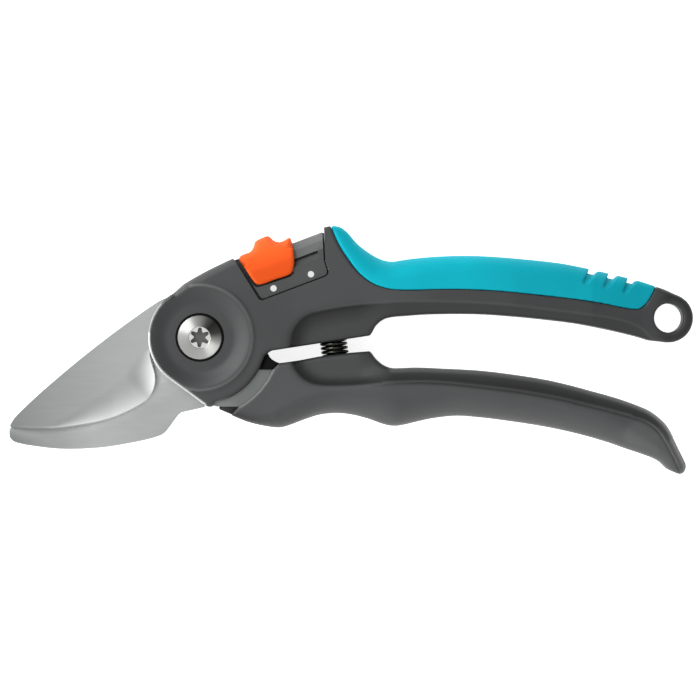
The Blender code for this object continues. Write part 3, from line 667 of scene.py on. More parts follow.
GRIP_INNER = [
    (54.2, 0.6), (54.8, 1.4), (56.2, 3.8), (58.7, 5.8), (61.3, 6.5), (66.0, 6.9), (71.5, 7.3), (80.0, 7.5),
    (89.4, 7.4), (99.7, 6.7), (109.9, 5.7), (120.2, 4.4), (130.4, 2.4), (136.0, 1.1), (140.6, -0.1),
    (143.2, -0.9), (146.4, -1.3),
]
UPPER_PLAN = (
    arc(CHEEK_RADIUS, -76, -17) + [(21.2, -5.3), (21.7, -4.8), (22.6, -4.25)] + flowing(GRIP_INNER)
    + arc(EYE_OUTER, -105, 70, EYE_CENTRE) + flowing(GRIP_BACK) + flowing(HEAD_TOP)
    + arc(BOSS_RADIUS, 121, 233) + [(1.4, -21.4), (2.4, -22.05), (3.6, -22.2), (4.6, -21.6)]
)
UPPER_CREASE = flowing([
    (20.0, -16.0), (27.6, -8.0), (28.6, -2.4), (29.3, 1.5), (31.1, 4.6), (33.6, 6.9), (37.2, 8.3),
    (44.3, 9.7), (51.4, 10.6), (58.4, 11.1), (66.0, 11.5), (74.0, 11.5), (83.0, 11.3), (95.8, 10.6),
    (108.6, 9.2), (121.4, 7.6), (134.2, 5.5), (140.6, 2.9), (143.8, -0.3), (146.0, -6.0),
])
print("upper plan has", len(UPPER_PLAN), "points")


# %% Half thickness of the upper handle
def beyond(crease, far, x, y):
    """How far each point lies past a crease line, towards the handles' inner side."""
    region = crease + [(crease[-1][0], far), (crease[0][0], far)]
    side = within(region, x, y)
    distance = from_line(crease, x, y)
    return np.where(side, distance, -distance)


def soften(c, radius):
    """max(c, 0) with its corner rounded."""
    return 0.5 * (c + np.sqrt(c * c + radius * radius))


def past_crease(crease, far, x, y):
    """How far each point lies past the crease, and 1 in the ear round the spring, 0 along the grip."""
    return beyond(crease, far, x, y), 1 - ramp(x, 50, 62)


def ear_drop(past):
    """How far the ear's face lies below the main face."""
    return 3.1 * (1 - np.exp(-soften(past, 0.6) / 1.5))


def upper_thickness(x, y):
    """Half the upper handle's thickness at each point."""
    half = np.interp(x, [30, 58, 100, 125, 141, 150], [8.8, 9.3, 9.4, 8.7, 6.2, 5.4])
    past, ear = past_crease(UPPER_CREASE, -30.0, x, y)
    facet_drop = 0.42 * soften(past - 0.1, 0.15)
    half = half - ear * ear_drop(past) - (1 - ear) * facet_drop
    radius = np.hypot(x, y)
    crest = CREST * np.exp(-(np.maximum(radius - DISH_RADIUS, 0) / 0.9) ** 2)
    dish = DISH_LEVEL + (half + CREST - DISH_LEVEL) * ramp(radius, 10.5, 16.6)
    return np.where(radius < DISH_RADIUS, dish, half + crest)


def edge_and_rounding(plan, x, y, rule):
    """The signed distance to the outline, and the rule's edge rounding at its nearest point."""
    distance, rounding = from_line(plan + plan[:1], x, y, [rule(*p) for p in plan])
    return np.where(within(plan, x, y), -distance, distance), rounding


def upper_rounding(x, y):
    """The edge rounding at one point of the outline: full along the back, small elsewhere."""
    if y > 12 and x > 40:
        return float(np.interp(x, [41, 47, 58, 130, 146], [1.0, 3.2, 6.5, 6.0, 1.6]))
    if x < 12 and y > 14:
        return 2.4
    return 1.1


def handle_form(samples, plan, thickness, rule):
    """The whole handle, before anything is taken out of it."""
    distance, rounding = edge_and_rounding(plan, samples.x, samples.y, rule)
    half = thickness(samples.x, samples.y)
    slope = np.hypot(1, np.hypot(*np.gradient(half, samples.step)))
    height = (np.abs(samples.level) - half[:, :, None]) / slope[:, :, None]
    return both(distance[:, :, None], height, rounding[:, :, None])


# %% [markdown]
# ## The soft grip
#
# The elastomer skin wraps the back of the handle, 1.8 mm thick and a millimetre more under the grooves
# near the eye, so that they don't cut through it. Both parts come from the same form, so they are
# flush: the skin keeps what lies in its region and outside the hard core, the handle keeps the rest,
# and each one's edge is rounded so that a fine groove shows where they meet.

# %% Split the upper handle into hard core and soft skin
SKIN_EDGE = flowing([
    (40.6, 39.5), (41.8, 35.5), (43.4, 31.4), (45.3, 27.8), (47.2, 25.0), (49.1, 22.4), (51.0, 20.2),
    (53.0, 18.5), (54.9, 17.3), (56.8, 16.4), (60.6, 15.4), (63.8, 15.1), (70.2, 15.1), (76.6, 15.3),
    (83.0, 15.3), (89.4, 15.1), (95.8, 14.7), (102.2, 14.1), (108.6, 13.4), (115.0, 12.7), (121.4, 11.9),
    (127.8, 10.9), (134.2, 9.6), (138.1, 9.0), (139.6, 9.0), (141.0, 9.6), (142.2, 10.7), (143.4, 12.4),
    (144.6, 14.6), (146.0, 17.8), (147.0, 21.0),
])
SKIN_REGION = SKIN_EDGE + [(147.0, 60.0), (40.6, 60.0)]
block = Samples((-18.0, -24.0, -10.2), (159.0, 37.5, 10.2), HANDLE_STEP)
form = handle_form(block, UPPER_PLAN, upper_thickness, upper_rounding)
eye = EYE_HOLE - np.hypot(block.x - EYE_CENTRE[0], block.y - EYE_CENTRE[1])
form = both(form, eye[:, :, None], 0.6)
skin_thick = 1.8 + (ramp(block.x, 119.0, 122.5) * (1 - ramp(block.x, 139.5, 142.0)))[:, :, None]
region = from_edge(SKIN_REGION, block.x, block.y)[:, :, None] + 0 * block.level
skin = both(both(form, region + 0.05, 0.3), -(form + skin_thick), 0.15)
core = without(form, both(region - 0.05, -(form + skin_thick + 0.1), 0.1), 0.3)

# %% [markdown]
# Three slanting grooves near the eye give the little finger a hold. They repeat along the back, so they
# are one rounded trough at three places.

# %% Grooves in the skin
GROOVES = [((125.6, 21.3), (122.7, 17.6)), ((131.8, 19.9), (129.2, 16.2)), ((137.9, 18.4), (135.5, 14.8))]
for top, foot in GROOVES:
    line = [(2 * top[0] - foot[0], 2 * top[1] - foot[1]), foot]
    trough = from_line(line, block.x, block.y) - np.interp(block.y, [foot[1], top[1]], [0.65, 1.25])
    floor = np.interp(block.y, [foot[1], top[1]], [0.8, 1.8])
    skin = both(skin, -both(trough[:, :, None], -form - floor[:, :, None], 0.3), 0.35)
soft_grip = moulded("soft_grip_skin", skin, block)
upper_handle = moulded("upper_handle_moulding", core, block)
report(soft_grip)
report(upper_handle)

# %% [markdown]
# ## Pockets in the upper handle
#
# The blades turn inside the head, the lock sits in a notch in its back, and the nut, the bearing and
# the spring have pockets of their own. These have crisp edges, so they are cut with exact solids. Each
# one is as large as what goes in it, with a few tenths of a millimetre of play.

# %% Plans of the blades, which their pockets follow
def levels_of(node):
    """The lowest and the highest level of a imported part."""
    low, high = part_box(node)
    return low.z / MM - SHEAR, high.z / MM - SHEAR


BLADE_LEVELS, HOOK_LEVELS = levels_of("cutting_blade"), levels_of("counter_blade")
DISC, BLADE_ROOM = 15.8, 17.8  # radii of the blades' round middle and of the room that it turns in
BORE, BUFFER_RADIUS = 5.7, 21.55  # radii of the bearing's bore and of the buffer's hollow side
CUTTING_EDGE = flowing([
    (-60.7, -28.8), (-57.6, -29.2), (-52.6, -29.4), (-48.2, -29.4), (-45.0, -29.2), (-41.8, -28.8),
    (-36.7, -28.0), (-32.2, -27.1), (-27.5, -25.7), (-23.0, -23.8), (-19.4, -21.9), (-17.0, -20.2),
    (-15.4, -18.2), (-14.4, -16.0), (-14.0, -13.3), (-14.3, -10.8), (-15.0, -8.5), (-15.8, -5.0),
], 0.4)
SPINE = flowing([(-11.0, 12.6), (-13.0, 11.7), (-25.8, 2.8), (-38.6, -7.1), (-51.4, -18.0),
                 (-57.8, -24.0)], 1.0)
BLADE_TANG = [(26.0, -22.1), (32.0, -21.0), (76.0, -21.0), (78.0, -19.0), (78.0, -15.5), (76.0, -13.5),
              (38.0, -13.3), (32.0, -12.2), (27.0, -10.3), (13.5, -10.3)]
BLADE_PLAN = (
    CUTTING_EDGE + arc(DISC, 200, 250) + [(5.0, -22.1)] + BLADE_TANG + arc(DISC, -32, 20)
    + [along_lock(14.0, 6.2), along_lock(10.8, 6.2), along_lock(10.8, 10.8)] + arc(DISC, 64, 127)
    + SPINE + [(-59.6, -26.0), (-60.9, -28.2)]
)
HOOK_BACK = flowing([
    (-61.4, -29.2), (-61.5, -30.7), (-61.2, -32.0), (-60.0, -33.3), (-57.0, -34.2), (-52.7, -34.9),
    (-47.0, -35.6), (-41.3, -35.8), (-35.5, -35.6), (-29.9, -35.1), (-20.7, -33.5), (-15.5, -32.3),
    (-12.4, -31.2), (-11.0, -30.1),
], 0.7)
HOOK_INNER = flowing([
    (-16.6, -4.0), (-17.0, -6.5), (-17.6, -11.5), (-19.4, -16.0), (-23.0, -19.8), (-28.5, -22.7),
    (-36.0, -25.2), (-45.0, -27.0), (-54.0, -27.9), (-60.6, -28.4),
], 0.7)
HOOK_TANG = [(24.0, 1.0), (36.0, 7.2), (60.0, 11.2), (78.0, 12.0), (79.5, 13.5), (79.5, 17.0), (78.0, 18.5),
             (60.0, 18.0), (36.0, 14.6), (20.0, 10.4), (13.0, 9.6)]
HOOK_PLAN = (
    HOOK_BACK + [(-7.2, -24.9), (-6.2, -24.1), (1.2, -22.4)] + arc(DISC, -84, -20) + HOOK_TANG
    + arc(DISC, 40, 190) + HOOK_INNER
)
print("blade levels", [round(x, 2) for x in BLADE_LEVELS], "hook levels", [round(x, 2) for x in HOOK_LEVELS])


# %% Cut the upper handle's pockets
def grown(outline, distance):
    """The outline moved outwards by a distance."""
    outline = anticlockwise(outline)
    return [tuple(p) for p in np.array(outline) - inward(outline) * distance]


def lock_plan(corners):
    """An outline in the plan from corners measured along and across the lock's slide."""
    return [along_lock(s, v) for s, v in corners]


def bar_across(name, foot, way, radius, length, sides=48):
    """A round bar that lies in the shear plane, from its foot along an angle in degrees."""
    a = math.radians(way)
    along, across = Vector((math.cos(a), math.sin(a), 0)), Vector((-math.sin(a), math.cos(a), 0))
    start = Vector((foot[0], foot[1], 0))
    turn = np.linspace(0, 2 * math.pi, sides, endpoint=False)
    rim = [across * radius * math.cos(t) + Vector((0, 0, radius * math.sin(t))) for t in turn]
    return stacked(name, [[tuple(start + along * d + r) for r in rim] for d in (0.0, length)])


def paint_light_marks(handle, painted_shade_rule, rims):
    """Stores painted shade, and painted highlights along the rims that would catch light."""
    count = len(handle.data.vertices)
    spots = np.empty(3 * count, np.float32)
    handle.data.vertices.foreach_get("co", spots)
    x, y, level = spots[0::3] / MM, spots[1::3] / MM, spots[2::3] / MM - SHEAR
    highlight_share = np.zeros(count)
    for line, reach, strength, lowest in rims:
        near = np.exp(-(from_line(line, x, y) / reach) ** 4)
        highlight_share = np.maximum(highlight_share, strength * near * ramp(np.abs(level), lowest, lowest + 1.2))
    for name, share in (("polished_facet", painted_shade_rule(x, y)), ("rubbed_edge", highlight_share)):
        handle.data.attributes.new(name, "FLOAT", "POINT").data.foreach_set("value", share.astype(np.float32))


def upper_painted_shade(x, y):
    """Painted shade: the facet past the crease, darkened for the light it misses; also darker over part of
    the face and in a ring round the eye.
    """
    past, ear = past_crease(UPPER_CREASE, -30.0, x, y)
    strip = (0.7 + 0.3 * ear) * ramp(past, -0.3, 0.5) * (1 - (0.2 + 0.5 * ear) * ramp(past, 1.0, 7.0))
    eye_ring = np.exp(-((np.hypot(x - EYE_CENTRE[0], y - EYE_CENTRE[1]) - 6.4) / 1.6) ** 2)
    face = 0.3 * ramp(x, 66.0, 78.0) * (1 - ramp(x, 118.0, 140.0))
    return np.maximum(np.maximum(strip, face), eye_ring * ramp(x, 144.0, 150.0))


NOTCH = lock_plan([(22.7, 3.95), (44.4, 3.95), (45.5, 4.5), (45.9, 5.6), (46.1, 9.0), (49.0, 17.7),
                   (51.0, 24.0), (17.6, 24.0), (19.35, 17.7), (21.9, 4.6)])
SPRING_MIDDLE, SPRING_WAY = (42.8, -3.3), 98.0  # the middle of its axis, and the axis's angle
SPRING_POCKET, SPRING_REACH = 5.0, 8.3  # the pockets' radius, and how far they reach from the middle
blade_room = [(24.5, -9.9)] + arc(BLADE_ROOM, -33, 96) + [(-12.0, 18.2), (-40.0, 30.0), (-40.0, -45.0),
                                                          (24.5, -45.0)]
for tool in (
    plate("blade_room", blade_room, -0.15, 4.25),
    plate("hook_room", grown(HOOK_PLAN, 0.3), HOOK_LEVELS[0] - 0.3, 0.0),
    lathe("bearing_bore", [(BORE, -4.6), (BORE, 12.0)]),
    lathe("cup_room", [(7.75, 5.05), (7.75, 12.0)]),
    lathe("rear_bore", [(4.3, -12.0), (4.3, 0.0)]),
    plate("nut_room", arc(7.86, 0, 300, gap=8.2), -12.0, -5.6),
    plate("notch", NOTCH, -15.0, 15.0),
    plate("bolt_channel", lock_plan([(14, 6.1), (24, 6.1), (24, 10.9), (10, 10.9)]), 0.3, 2.7),
    bar_across("spring_room", SPRING_MIDDLE, SPRING_WAY, SPRING_POCKET, SPRING_REACH),
):
    shaped(upper_handle, tool)
# Painted shade by the rule; painted highlights along the boss's rim, round the dish and on part of the
# crease.
paint_light_marks(upper_handle, upper_painted_shade, [
    (arc(BOSS_RADIUS, 140, 176), 0.45, 0.4, 6.6),
    (arc(BOSS_RADIUS, 176, 233) + [(1.4, -21.4)], 0.6, 0.9, 6.6),
    (arc(16.7, -120, 100), 0.4, 0.14, 3.0), (UPPER_CREASE[60:], 0.4, 0.03, 3.0),
])
dress(upper_handle, HANDLE_PLASTIC, "upper_body", "graphite_plastic", "upper_handle", crease=32)
dress(soft_grip, SOFT_SKIN, "upper_body", "turquoise_soft", "soft_grip", crease=60)

# %% [markdown]
# ## The lower handle
#
# It has no skin. Its back swells twice for the fingers and turns down at the end so that the hand
# doesn't slip off. Its inner side has the same soft ear and facet as its partner, with a small step at
# the crease between the face and the facet.

# %% Plan and form of the lower handle
LOWER_OUTER = [
    (9.9, -24.7), (12.6, -25.9), (15.2, -26.9), (20.3, -28.2), (25.4, -28.8), (28.0, -28.2), (33.1, -26.3),
    (38.2, -24.7), (43.4, -24.2), (48.5, -24.7), (53.6, -26.0), (58.7, -27.8), (61.3, -28.3), (63.8, -28.2),
    (69.0, -27.0), (74.1, -25.9), (81.8, -25.1), (89.4, -25.6), (99.7, -26.9), (109.9, -28.5),
    (120.2, -30.7), (130.4, -33.6), (135.5, -35.4), (140.6, -37.1), (145.1, -38.8), (147.0, -39.9),
    (149.1, -41.9), (151.2, -43.0), (153.4, -43.7), (154.5, -43.2), (155.4, -41.4), (155.2, -40.2),
]
LOWER_INNER = [
    (155.2, -40.2), (152.6, -35.0), (149.8, -29.4), (148.3, -27.3), (146.5, -25.6), (143.6, -23.5),
    (140.6, -22.1), (135.5, -20.2), (130.4, -18.6), (125.3, -17.2), (120.2, -15.8), (115.0, -14.5),
    (109.9, -13.4), (99.7, -11.8), (89.4, -10.6), (76.6, -9.9), (69.0, -9.6), (63.8, -9.8), (61.3, -9.8),
    (58.7, -8.9), (56.2, -6.9), (54.7, -4.9),
]
NOSE_TOP = [(47.8, -4.9), (37.9, -6.1), (31.8, -7.3), (27.0, -8.0), (25.2, -8.2), (24.6, -8.8)]
LOWER_BACK = flowing(LOWER_OUTER)
LOWER_PLAN = (
    LOWER_BACK + flowing(LOWER_INNER)[1:] + [(54.0, -4.4)] + NOSE_TOP + arc(NOSE_RADIUS, -24, -61)
    + [(10.3, -24.3)]
)
LOWER_CREASE = flowing([
    (19.0, 2.0), (27.4, -4.0), (28.8, -6.6), (29.7, -9.4), (31.4, -11.9), (33.8, -13.9), (37.4, -15.2),
    (44.3, -15.5), (51.4, -15.1), (58.5, -14.6), (66.0, -14.3), (73.4, -14.3), (80.0, -14.7), (89.4, -15.7),
    (102.2, -17.3), (115.0, -19.6), (127.8, -22.6), (136.0, -24.7), (141.5, -26.4), (144.6, -28.2),
    (147.4, -31.3), (150.0, -35.8), (153.6, -43.2), (156.0, -50.0),
])


def lower_thickness(x, y):
    """Half the lower handle's thickness at each point, with a small step down at the crease."""
    half = np.interp(x, [20, 58, 105, 130, 146, 156], [8.8, 9.3, 9.4, 8.9, 7.8, 6.0])
    past, ear = past_crease(LOWER_CREASE, 30.0, x, y)
    facet_drop = 0.62 * soften(past - 0.1, 0.12) + 0.75 * ramp(past, -0.5, 0.15) * ramp(x, 58.0, 68.0)
    return half - ear * ear_drop(past) - (1 - ear) * facet_drop


def lower_painted_shade(x, y):
    """Painted shade: the facet, a painted shadow at the foot of its step, and darker along the outer edge."""
    past, ear = past_crease(LOWER_CREASE, 30.0, x, y)
    strip = ramp(past, -0.3, 0.5) * (1 - (0.75 - 0.1 * ear) * ramp(past, 0.8, 5.0))
    shadow = 0.75 * (1 - ear) * np.exp(-((past + 0.45) / 0.5) ** 2)
    rim = np.exp(-(from_line(LOWER_BACK, x, y) / 2.2) ** 2)
    return np.maximum(strip, np.maximum(shadow, rim))


def lower_rounding(x, y):
    """The edge rounding at one point of the outline: full along the outer side, small elsewhere."""
    on_back = y < -24 - 0.12 * max(0.0, x - 84) and x > 10
    if on_back:
        return float(np.interp(x, [10, 16, 26, 60, 130, 152], [0.7, 2.4, 6.5, 9.0, 8.5, 2.4]))
    return 0.7 if x < 26 else 1.3


block = Samples((4.0, -46.0, -10.2), (158.0, -3.0, 10.2), HANDLE_STEP)
form = handle_form(block, LOWER_PLAN, lower_thickness, lower_rounding)
lower_handle = moulded("lower_handle_moulding", form, block)
rear_nose = [(5.8, -23.1), (10.5, -25.1)] + arc(NOSE_RADIUS + 1.5, -62, -26) + arc(23.0, -26, -75.5)
shaped(lower_handle, plate("rear_nose", rear_nose, -8.3, -4.75, edge=0.4), "UNION")
TANG_ROOM = [(0.0, -22.4), (26.1, -22.4), (32.1, -21.3), (76.1, -21.3), (78.3, -19.1), (78.3, -15.4),
             (76.1, -13.2), (38.0, -13.0), (32.1, -11.9), (27.1, -10.0), (0.0, -10.0)]
for tool in (
    plate("tang_room", TANG_ROOM, BLADE_LEVELS[0] - 0.3, BLADE_LEVELS[1] + 0.3),
    bar_across("spring_room", SPRING_MIDDLE, SPRING_WAY + 180, SPRING_POCKET, SPRING_REACH),
):
    shaped(lower_handle, tool)
crease_line = [(x, y + 0.35) for x, y in LOWER_CREASE if 58.0 < x < 138.0]
# Painted shade by the rule; painted highlights on the throat's rim, the inner edge, the crease and near the
# end.
paint_light_marks(lower_handle, lower_painted_shade, [
    (arc(NOSE_RADIUS, -60, -24), 0.45, 0.28, 5.5), (flowing(LOWER_INNER[:-3]), 1.3, 0.2, 3.0),
    (crease_line, 0.35, 0.06, 3.0),
    ([(139.0, -31.0), (145.0, -34.0), (151.0, -40.5)], 4.2, 0.07, 3.0),
])
dress(lower_handle, LOWER_PLASTIC_PAINTED_LIGHTER, "lower_body", "graphite_plastic", "lower_handle", crease=32)

# %% [markdown]
# ## The blades
#
# The cutting blade is ground only on the face away from the counter blade, so that its edge runs along
# the shear plane. The grind is slightly rounded: steep at the edge, and running out into the flat over
# several millimetres, narrow near the tip. A Boolean can't make that, so the plan is filled with
# triangles and each vertex of the front face is given its own height.

# %% Relief plates
def relief(name, outline, low, height, spacing, band=None):
    """A plate with an exact outline and a flat back, whose front follows a height rule."""
    outline = anticlockwise(outline)
    edge = np.array(outline)
    spans = [np.arange(edge[:, i].min(), edge[:, i].max(), spacing) for i in (0, 1)]
    x, y = np.meshgrid(*spans, indexing="ij")
    x = x + np.where(np.arange(len(spans[1])) % 2, spacing / 2, 0)[None, :]
    inner = from_edge(outline, x, y) < -spacing * 0.6 - 0.5
    rim = edge + inward(outline) * 0.5
    rim = rim[from_edge(outline, rim[:, 0], rim[:, 1]) < -0.42]
    points = [Vector(p) for p in (*outline, *rim, *zip(x[inner], y[inner]))]
    count = len(outline)
    sides = [(i, (i + 1) % count) for i in range(count)]
    flat, _, faces, origin, _, _ = delaunay_2d_cdt(points, sides, [], 1, 1e-6)
    top_of = {old: new for new, olds in enumerate(origin) for old in olds}
    ring = [top_of[i] for i in range(count)]
    plan = np.array([tuple(p) for p in flat])
    levels = height(plan[:, 0], plan[:, 1])
    verts = [(p[0], p[1], z) for p, z in zip(plan, levels)] + [(plan[i][0], plan[i][1], low) for i in ring]
    back = {v: len(plan) + i for i, v in enumerate(ring)}
    quads = [(back[a], back[b], b, a) for a, b in zip(ring, ring[1:] + ring[:1])]
    bottom = tuple(back[v] for v in ring[::-1])
    made = piece_from(name, verts, list(faces) + quads + [bottom])
    # The painted reflection of the grind, stored on each vertex of the front.
    if band is not None:
        share = made.data.attributes.new("ground_band", "FLOAT", "POINT")
        share.data.foreach_set("value", [*band(plan[:, 0], plan[:, 1]), *[0.0] * len(ring)])
    made.data.shade_smooth()
    made.data.polygons[len(made.data.polygons) - 1].use_smooth = False
    made.data.set_sharp_from_angle(angle=math.radians(30))
    return made


def grind_width(x, y):
    """How wide the ground band is: narrow near the tip, and gone where the edge meets the disc."""
    width = np.interp(x, [-60, -50, -46, -42, -36, -28, -14], [0.7, 0.9, 1.6, 3.2, 6.5, 10.0, 12.0])
    return width * (0.2 + 0.8 * ramp(-y, 3.0, 15.0))


def blade_height(x, y):
    """A steep sharpened edge 0.3 mm wide, then the rounded grind that runs out in the flat."""
    low, high = BLADE_LEVELS
    from_cut = from_line(CUTTING_EDGE, x, y)
    width = grind_width(x, y)
    depth = 0.19 * width
    depth = depth * ramp(np.hypot(x, y), 17.5, 25.0)
    across = np.clip((from_cut - 0.3) / width, 0, 1)
    sharpened = (high - low - 0.05 - depth) * np.clip(from_cut / 0.3, 0, 1)
    return low + 0.05 + sharpened + depth * (1 - (1 - across) ** 2) * (from_cut > 0.3)


def grind_reflection_share(x, y):
    """How strongly the grind's painted reflection shows: 1 along the edge, 0 where the grind runs out."""
    return (1 - np.clip(from_line(CUTTING_EDGE, x, y) / grind_width(x, y), 0, 1)) ** 2.4


cutting_blade = relief("cutting_blade_ground", BLADE_PLAN, BLADE_LEVELS[0], blade_height, 0.7, grind_reflection_share)
shaped(cutting_blade, lathe("bore", [(BORE, -9.0), (BORE, 9.0)]))
dress(cutting_blade, BLADE_STEEL, "lower_body", "ground_steel", "cutting_blade")

counter_blade = plate("counter_blade_ground", HOOK_PLAN, HOOK_LEVELS[0], HOOK_LEVELS[1], edge=0.35)
shaped(counter_blade, lathe("bore", [(BORE, -9.0), (BORE, 9.0)]))
dress(counter_blade, HOOK_STEEL, "upper_body", "ground_steel", "counter_blade", crease=30)

# %% [markdown]
# ## Pivot screw, bearing and nut
#
# The screw is turned on a lathe, so its head is a solid of revolution: a shallow cone with a flat
# middle, into which the six-lobed drive is pressed. The turned finish stretches reflections into
# wedges, and the lathe's wedges of light are also painted into the cone's colour. The bright middle is a
# painted highlight and the dark drive is painted shade, each a material of its own. The bearing's black
# cup shows as a ring round the head.

# %% Turned parts
screw = lathe("pivot_screw_turned", [
    (3.4, -8.3), (4.0, -7.7), (4.0, 6.35), (6.7, 6.35), (7.0, 6.6), (7.0, 7.75), (6.93, 7.9), (6.8, 8.0),
    (3.7, 8.32), (3.55, 8.3), (3.35, 8.1), (0.6, 8.1),
])


def drive_outline(lobes=6, middle=2.5, swing=0.68, turned=28.0, count=96):
    """A round-lobed drive; the sine inside a sine makes the lobes fuller and the valleys flatter."""
    outline = []
    for i in range(count):
        a = 2 * math.pi * i / count
        reach = middle + swing * math.sin(1.35 * math.cos(lobes * a))
        a += math.radians(turned)
        outline.append((reach * math.cos(a), reach * math.sin(a)))
    return outline


shaped(screw, plate("drive", drive_outline(), 5.9, 12.0))
dress(screw, SCREW_STEEL, "upper_body", "ground_steel", "pivot_screw", crease=24)
screw.data.materials.append(DRIVE_PAINTED_SHADE)
screw.data.materials.append(CENTRE_PAINTED_HIGHLIGHT)
# Painted shade inside the drive, and a painted highlight on the flat middle.
FLAT_LEVEL = 7.9
for face in screw.data.polygons:
    x, y, level = face.center / MM
    reach, level = math.hypot(x, y), level - SHEAR
    if reach < 3.5 and 5.5 < level < FLAT_LEVEL:
        face.material_index = 1
    elif reach < 3.3 and level > FLAT_LEVEL:
        face.material_index = 2

bush = lathe("pivot_bearing", [(5.4, -4.1), (5.4, 5.35), (7.5, 5.35), (7.6, 5.45), (7.6, 7.5), (7.5, 7.6)])
shaped(bush, lathe("inside", [(4.3, -9.0), (4.3, 6.05), (7.2, 6.05), (7.2, 12.0)]))
dress(bush, BLACK_RUBBER, "upper_body", "black_rubber", "pivot_bush", crease=30)

nut = plate("pivot_nut_turned", arc(7.5, 0, 300, gap=7.8), -8.6, -6.75, edge=0.3)
cap = lathe("cap", [(4.9, -SHEAR), (5.2, -SHEAR + 0.05), (5.7, -SHEAR + 0.35), (5.95, -SHEAR + 0.8),
                    (6.0, -7.6)])
shaped(nut, cap, "UNION")
shaped(nut, lathe("thread", [(4.3, -8.7), (4.3, 0.0)]))
dress(nut, PLAIN_STEEL, "upper_body", "ground_steel", "pivot_nut", crease=30)

# %% [markdown]
# ## The lock
#
# A plastic insert closes the notch in the handle's back, and a thin lip fills the gap round it. Its
# face is a flat plate that ends in a groove with one sloping side. Behind the groove rises the rail that
# the orange slider straddles, painted lighter for the light that falls on its top, with a shallow gap
# that follows the slider's outline. The plate, its groove and the rail are drawn as sections across the
# slide, and the outlines of the insert, the lip and the gap as plans.

# %% The lock's insert
INSERT_TOP = levels_of("lock_housing")[1]


def lock_bar(name, section, start, end):
    """A bar along the lock's slide from a section of (across, level) points."""
    return stacked(name, [[(*along_lock(s, v), level) for v, level in section] for s in (start, end)])


def mirrored(half):
    """A section from its upper half, mirrored in the shear plane."""
    return half + [(v, -level) for v, level in half[::-1]]


insert_plan = lock_plan([(23.6, 4.35), (44.2, 4.35), (45.0, 4.7), (45.4, 5.7), (45.6, 9.0), (48.4, 17.7),
                         (48.4, 20.0), (19.9, 20.0), (20.0, 17.7), (22.6, 5.2), (22.9, 4.6)])
insert = lock_bar("lock_insert", mirrored([
    (3.0, INSERT_TOP), (12.6, INSERT_TOP), (12.6, 6.75), (15.2, 6.55), (17.1, 5.2), (17.6, 4.75),
    (17.7, 4.3),
]), 12.0, 58.0)
shaped(insert, plate("insert_plan", insert_plan, -12.0, 12.0), "INTERSECT")
for side in (1, -1):
    groove = [(11.9, side * 3.3), (12.65, side * 3.3), (12.65, side * 12.0), (10.2, side * 12.0),
              (10.2, side * INSERT_TOP), (11.9, side * (INSERT_TOP - 1.3))]
    shaped(insert, lock_bar("groove", groove, 12.0, 44.7))
shaped(insert, lock_bar("slot", [(6.1, -2.7), (6.1, 2.7), (25.0, 2.7), (25.0, -2.7)], 12.0, 45.4))
lip = lock_plan([(22.7, 3.97), (44.4, 3.97), (45.48, 4.52), (45.87, 5.6), (46.07, 9.0), (47.05, 12.0),
                 (48.75, 17.4), (30.0, 17.4), (20.2, 19.2), (18.95, 19.2), (19.42, 17.7), (21.93, 4.6)])
shaped(insert, plate("light_lip", lip, -6.4, 4.2), "UNION")
shadow_gap = [(12.8, 24.6), (17.6, 17.7), (18.7, 17.3), (28.2, 20.3), (29.3, 21.2), (30.0, 20.6),
              (28.8, 19.3), (19.2, 16.1), (18.0, 15.9), (17.15, 16.6), (11.9, 24.1), (11.3, 24.8)]
for side in (1, -1):
    shaped(insert, plate("shadow_gap", shadow_gap, *sorted((side * 3.4, side * 12.0))))
dress(insert, INSERT_PLASTIC, "upper_body", "graphite_plastic", "lock_housing", crease=30)
insert.data.materials.append(RAIL_PLASTIC_PAINTED_LIGHTER)
# Painted highlight: the rail's top faces get the lighter copy of the insert's acetal.
for face in insert.data.polygons:
    x, y, level = face.center / MM
    if across_lock(x, y) > 13.0 and x < 39.2 and abs(level - SHEAR) > 4.0:
        face.material_index = 1

# %% The orange slider
SLIDER_PLAN = flowing([(12.3, 25.3), (12.6, 24.5), (15.0, 21.0), (17.4, 17.6), (18.3, 16.9), (19.4, 16.8),
                       (24.0, 18.4), (28.4, 19.9), (29.4, 20.7), (29.9, 22.2), (30.1, 24.4), (29.8, 27.9),
                       (29.2, 30.6), (28.6, 31.9), (27.8, 31.6), (26.5, 30.8), (25.0, 30.5), (23.6, 30.9),
                       (22.4, 32.0), (21.3, 32.8), (20.2, 32.5), (18.4, 31.6), (17.4, 30.7), (17.1, 29.4),
                       (16.6, 28.2), (15.8, 27.3), (14.2, 26.7), (12.9, 26.1)], gap=0.3)
block = Samples((10.0, 15.0, -9.9), (32.5, 35.0, 9.9), SLIDER_STEP)


def slider_rounding(x, y):
    """Full on the slider's outer side, where the thumb pushes it, and small on its inner side."""
    return 2.3 if across_lock(x, y) > 16.0 else 0.8


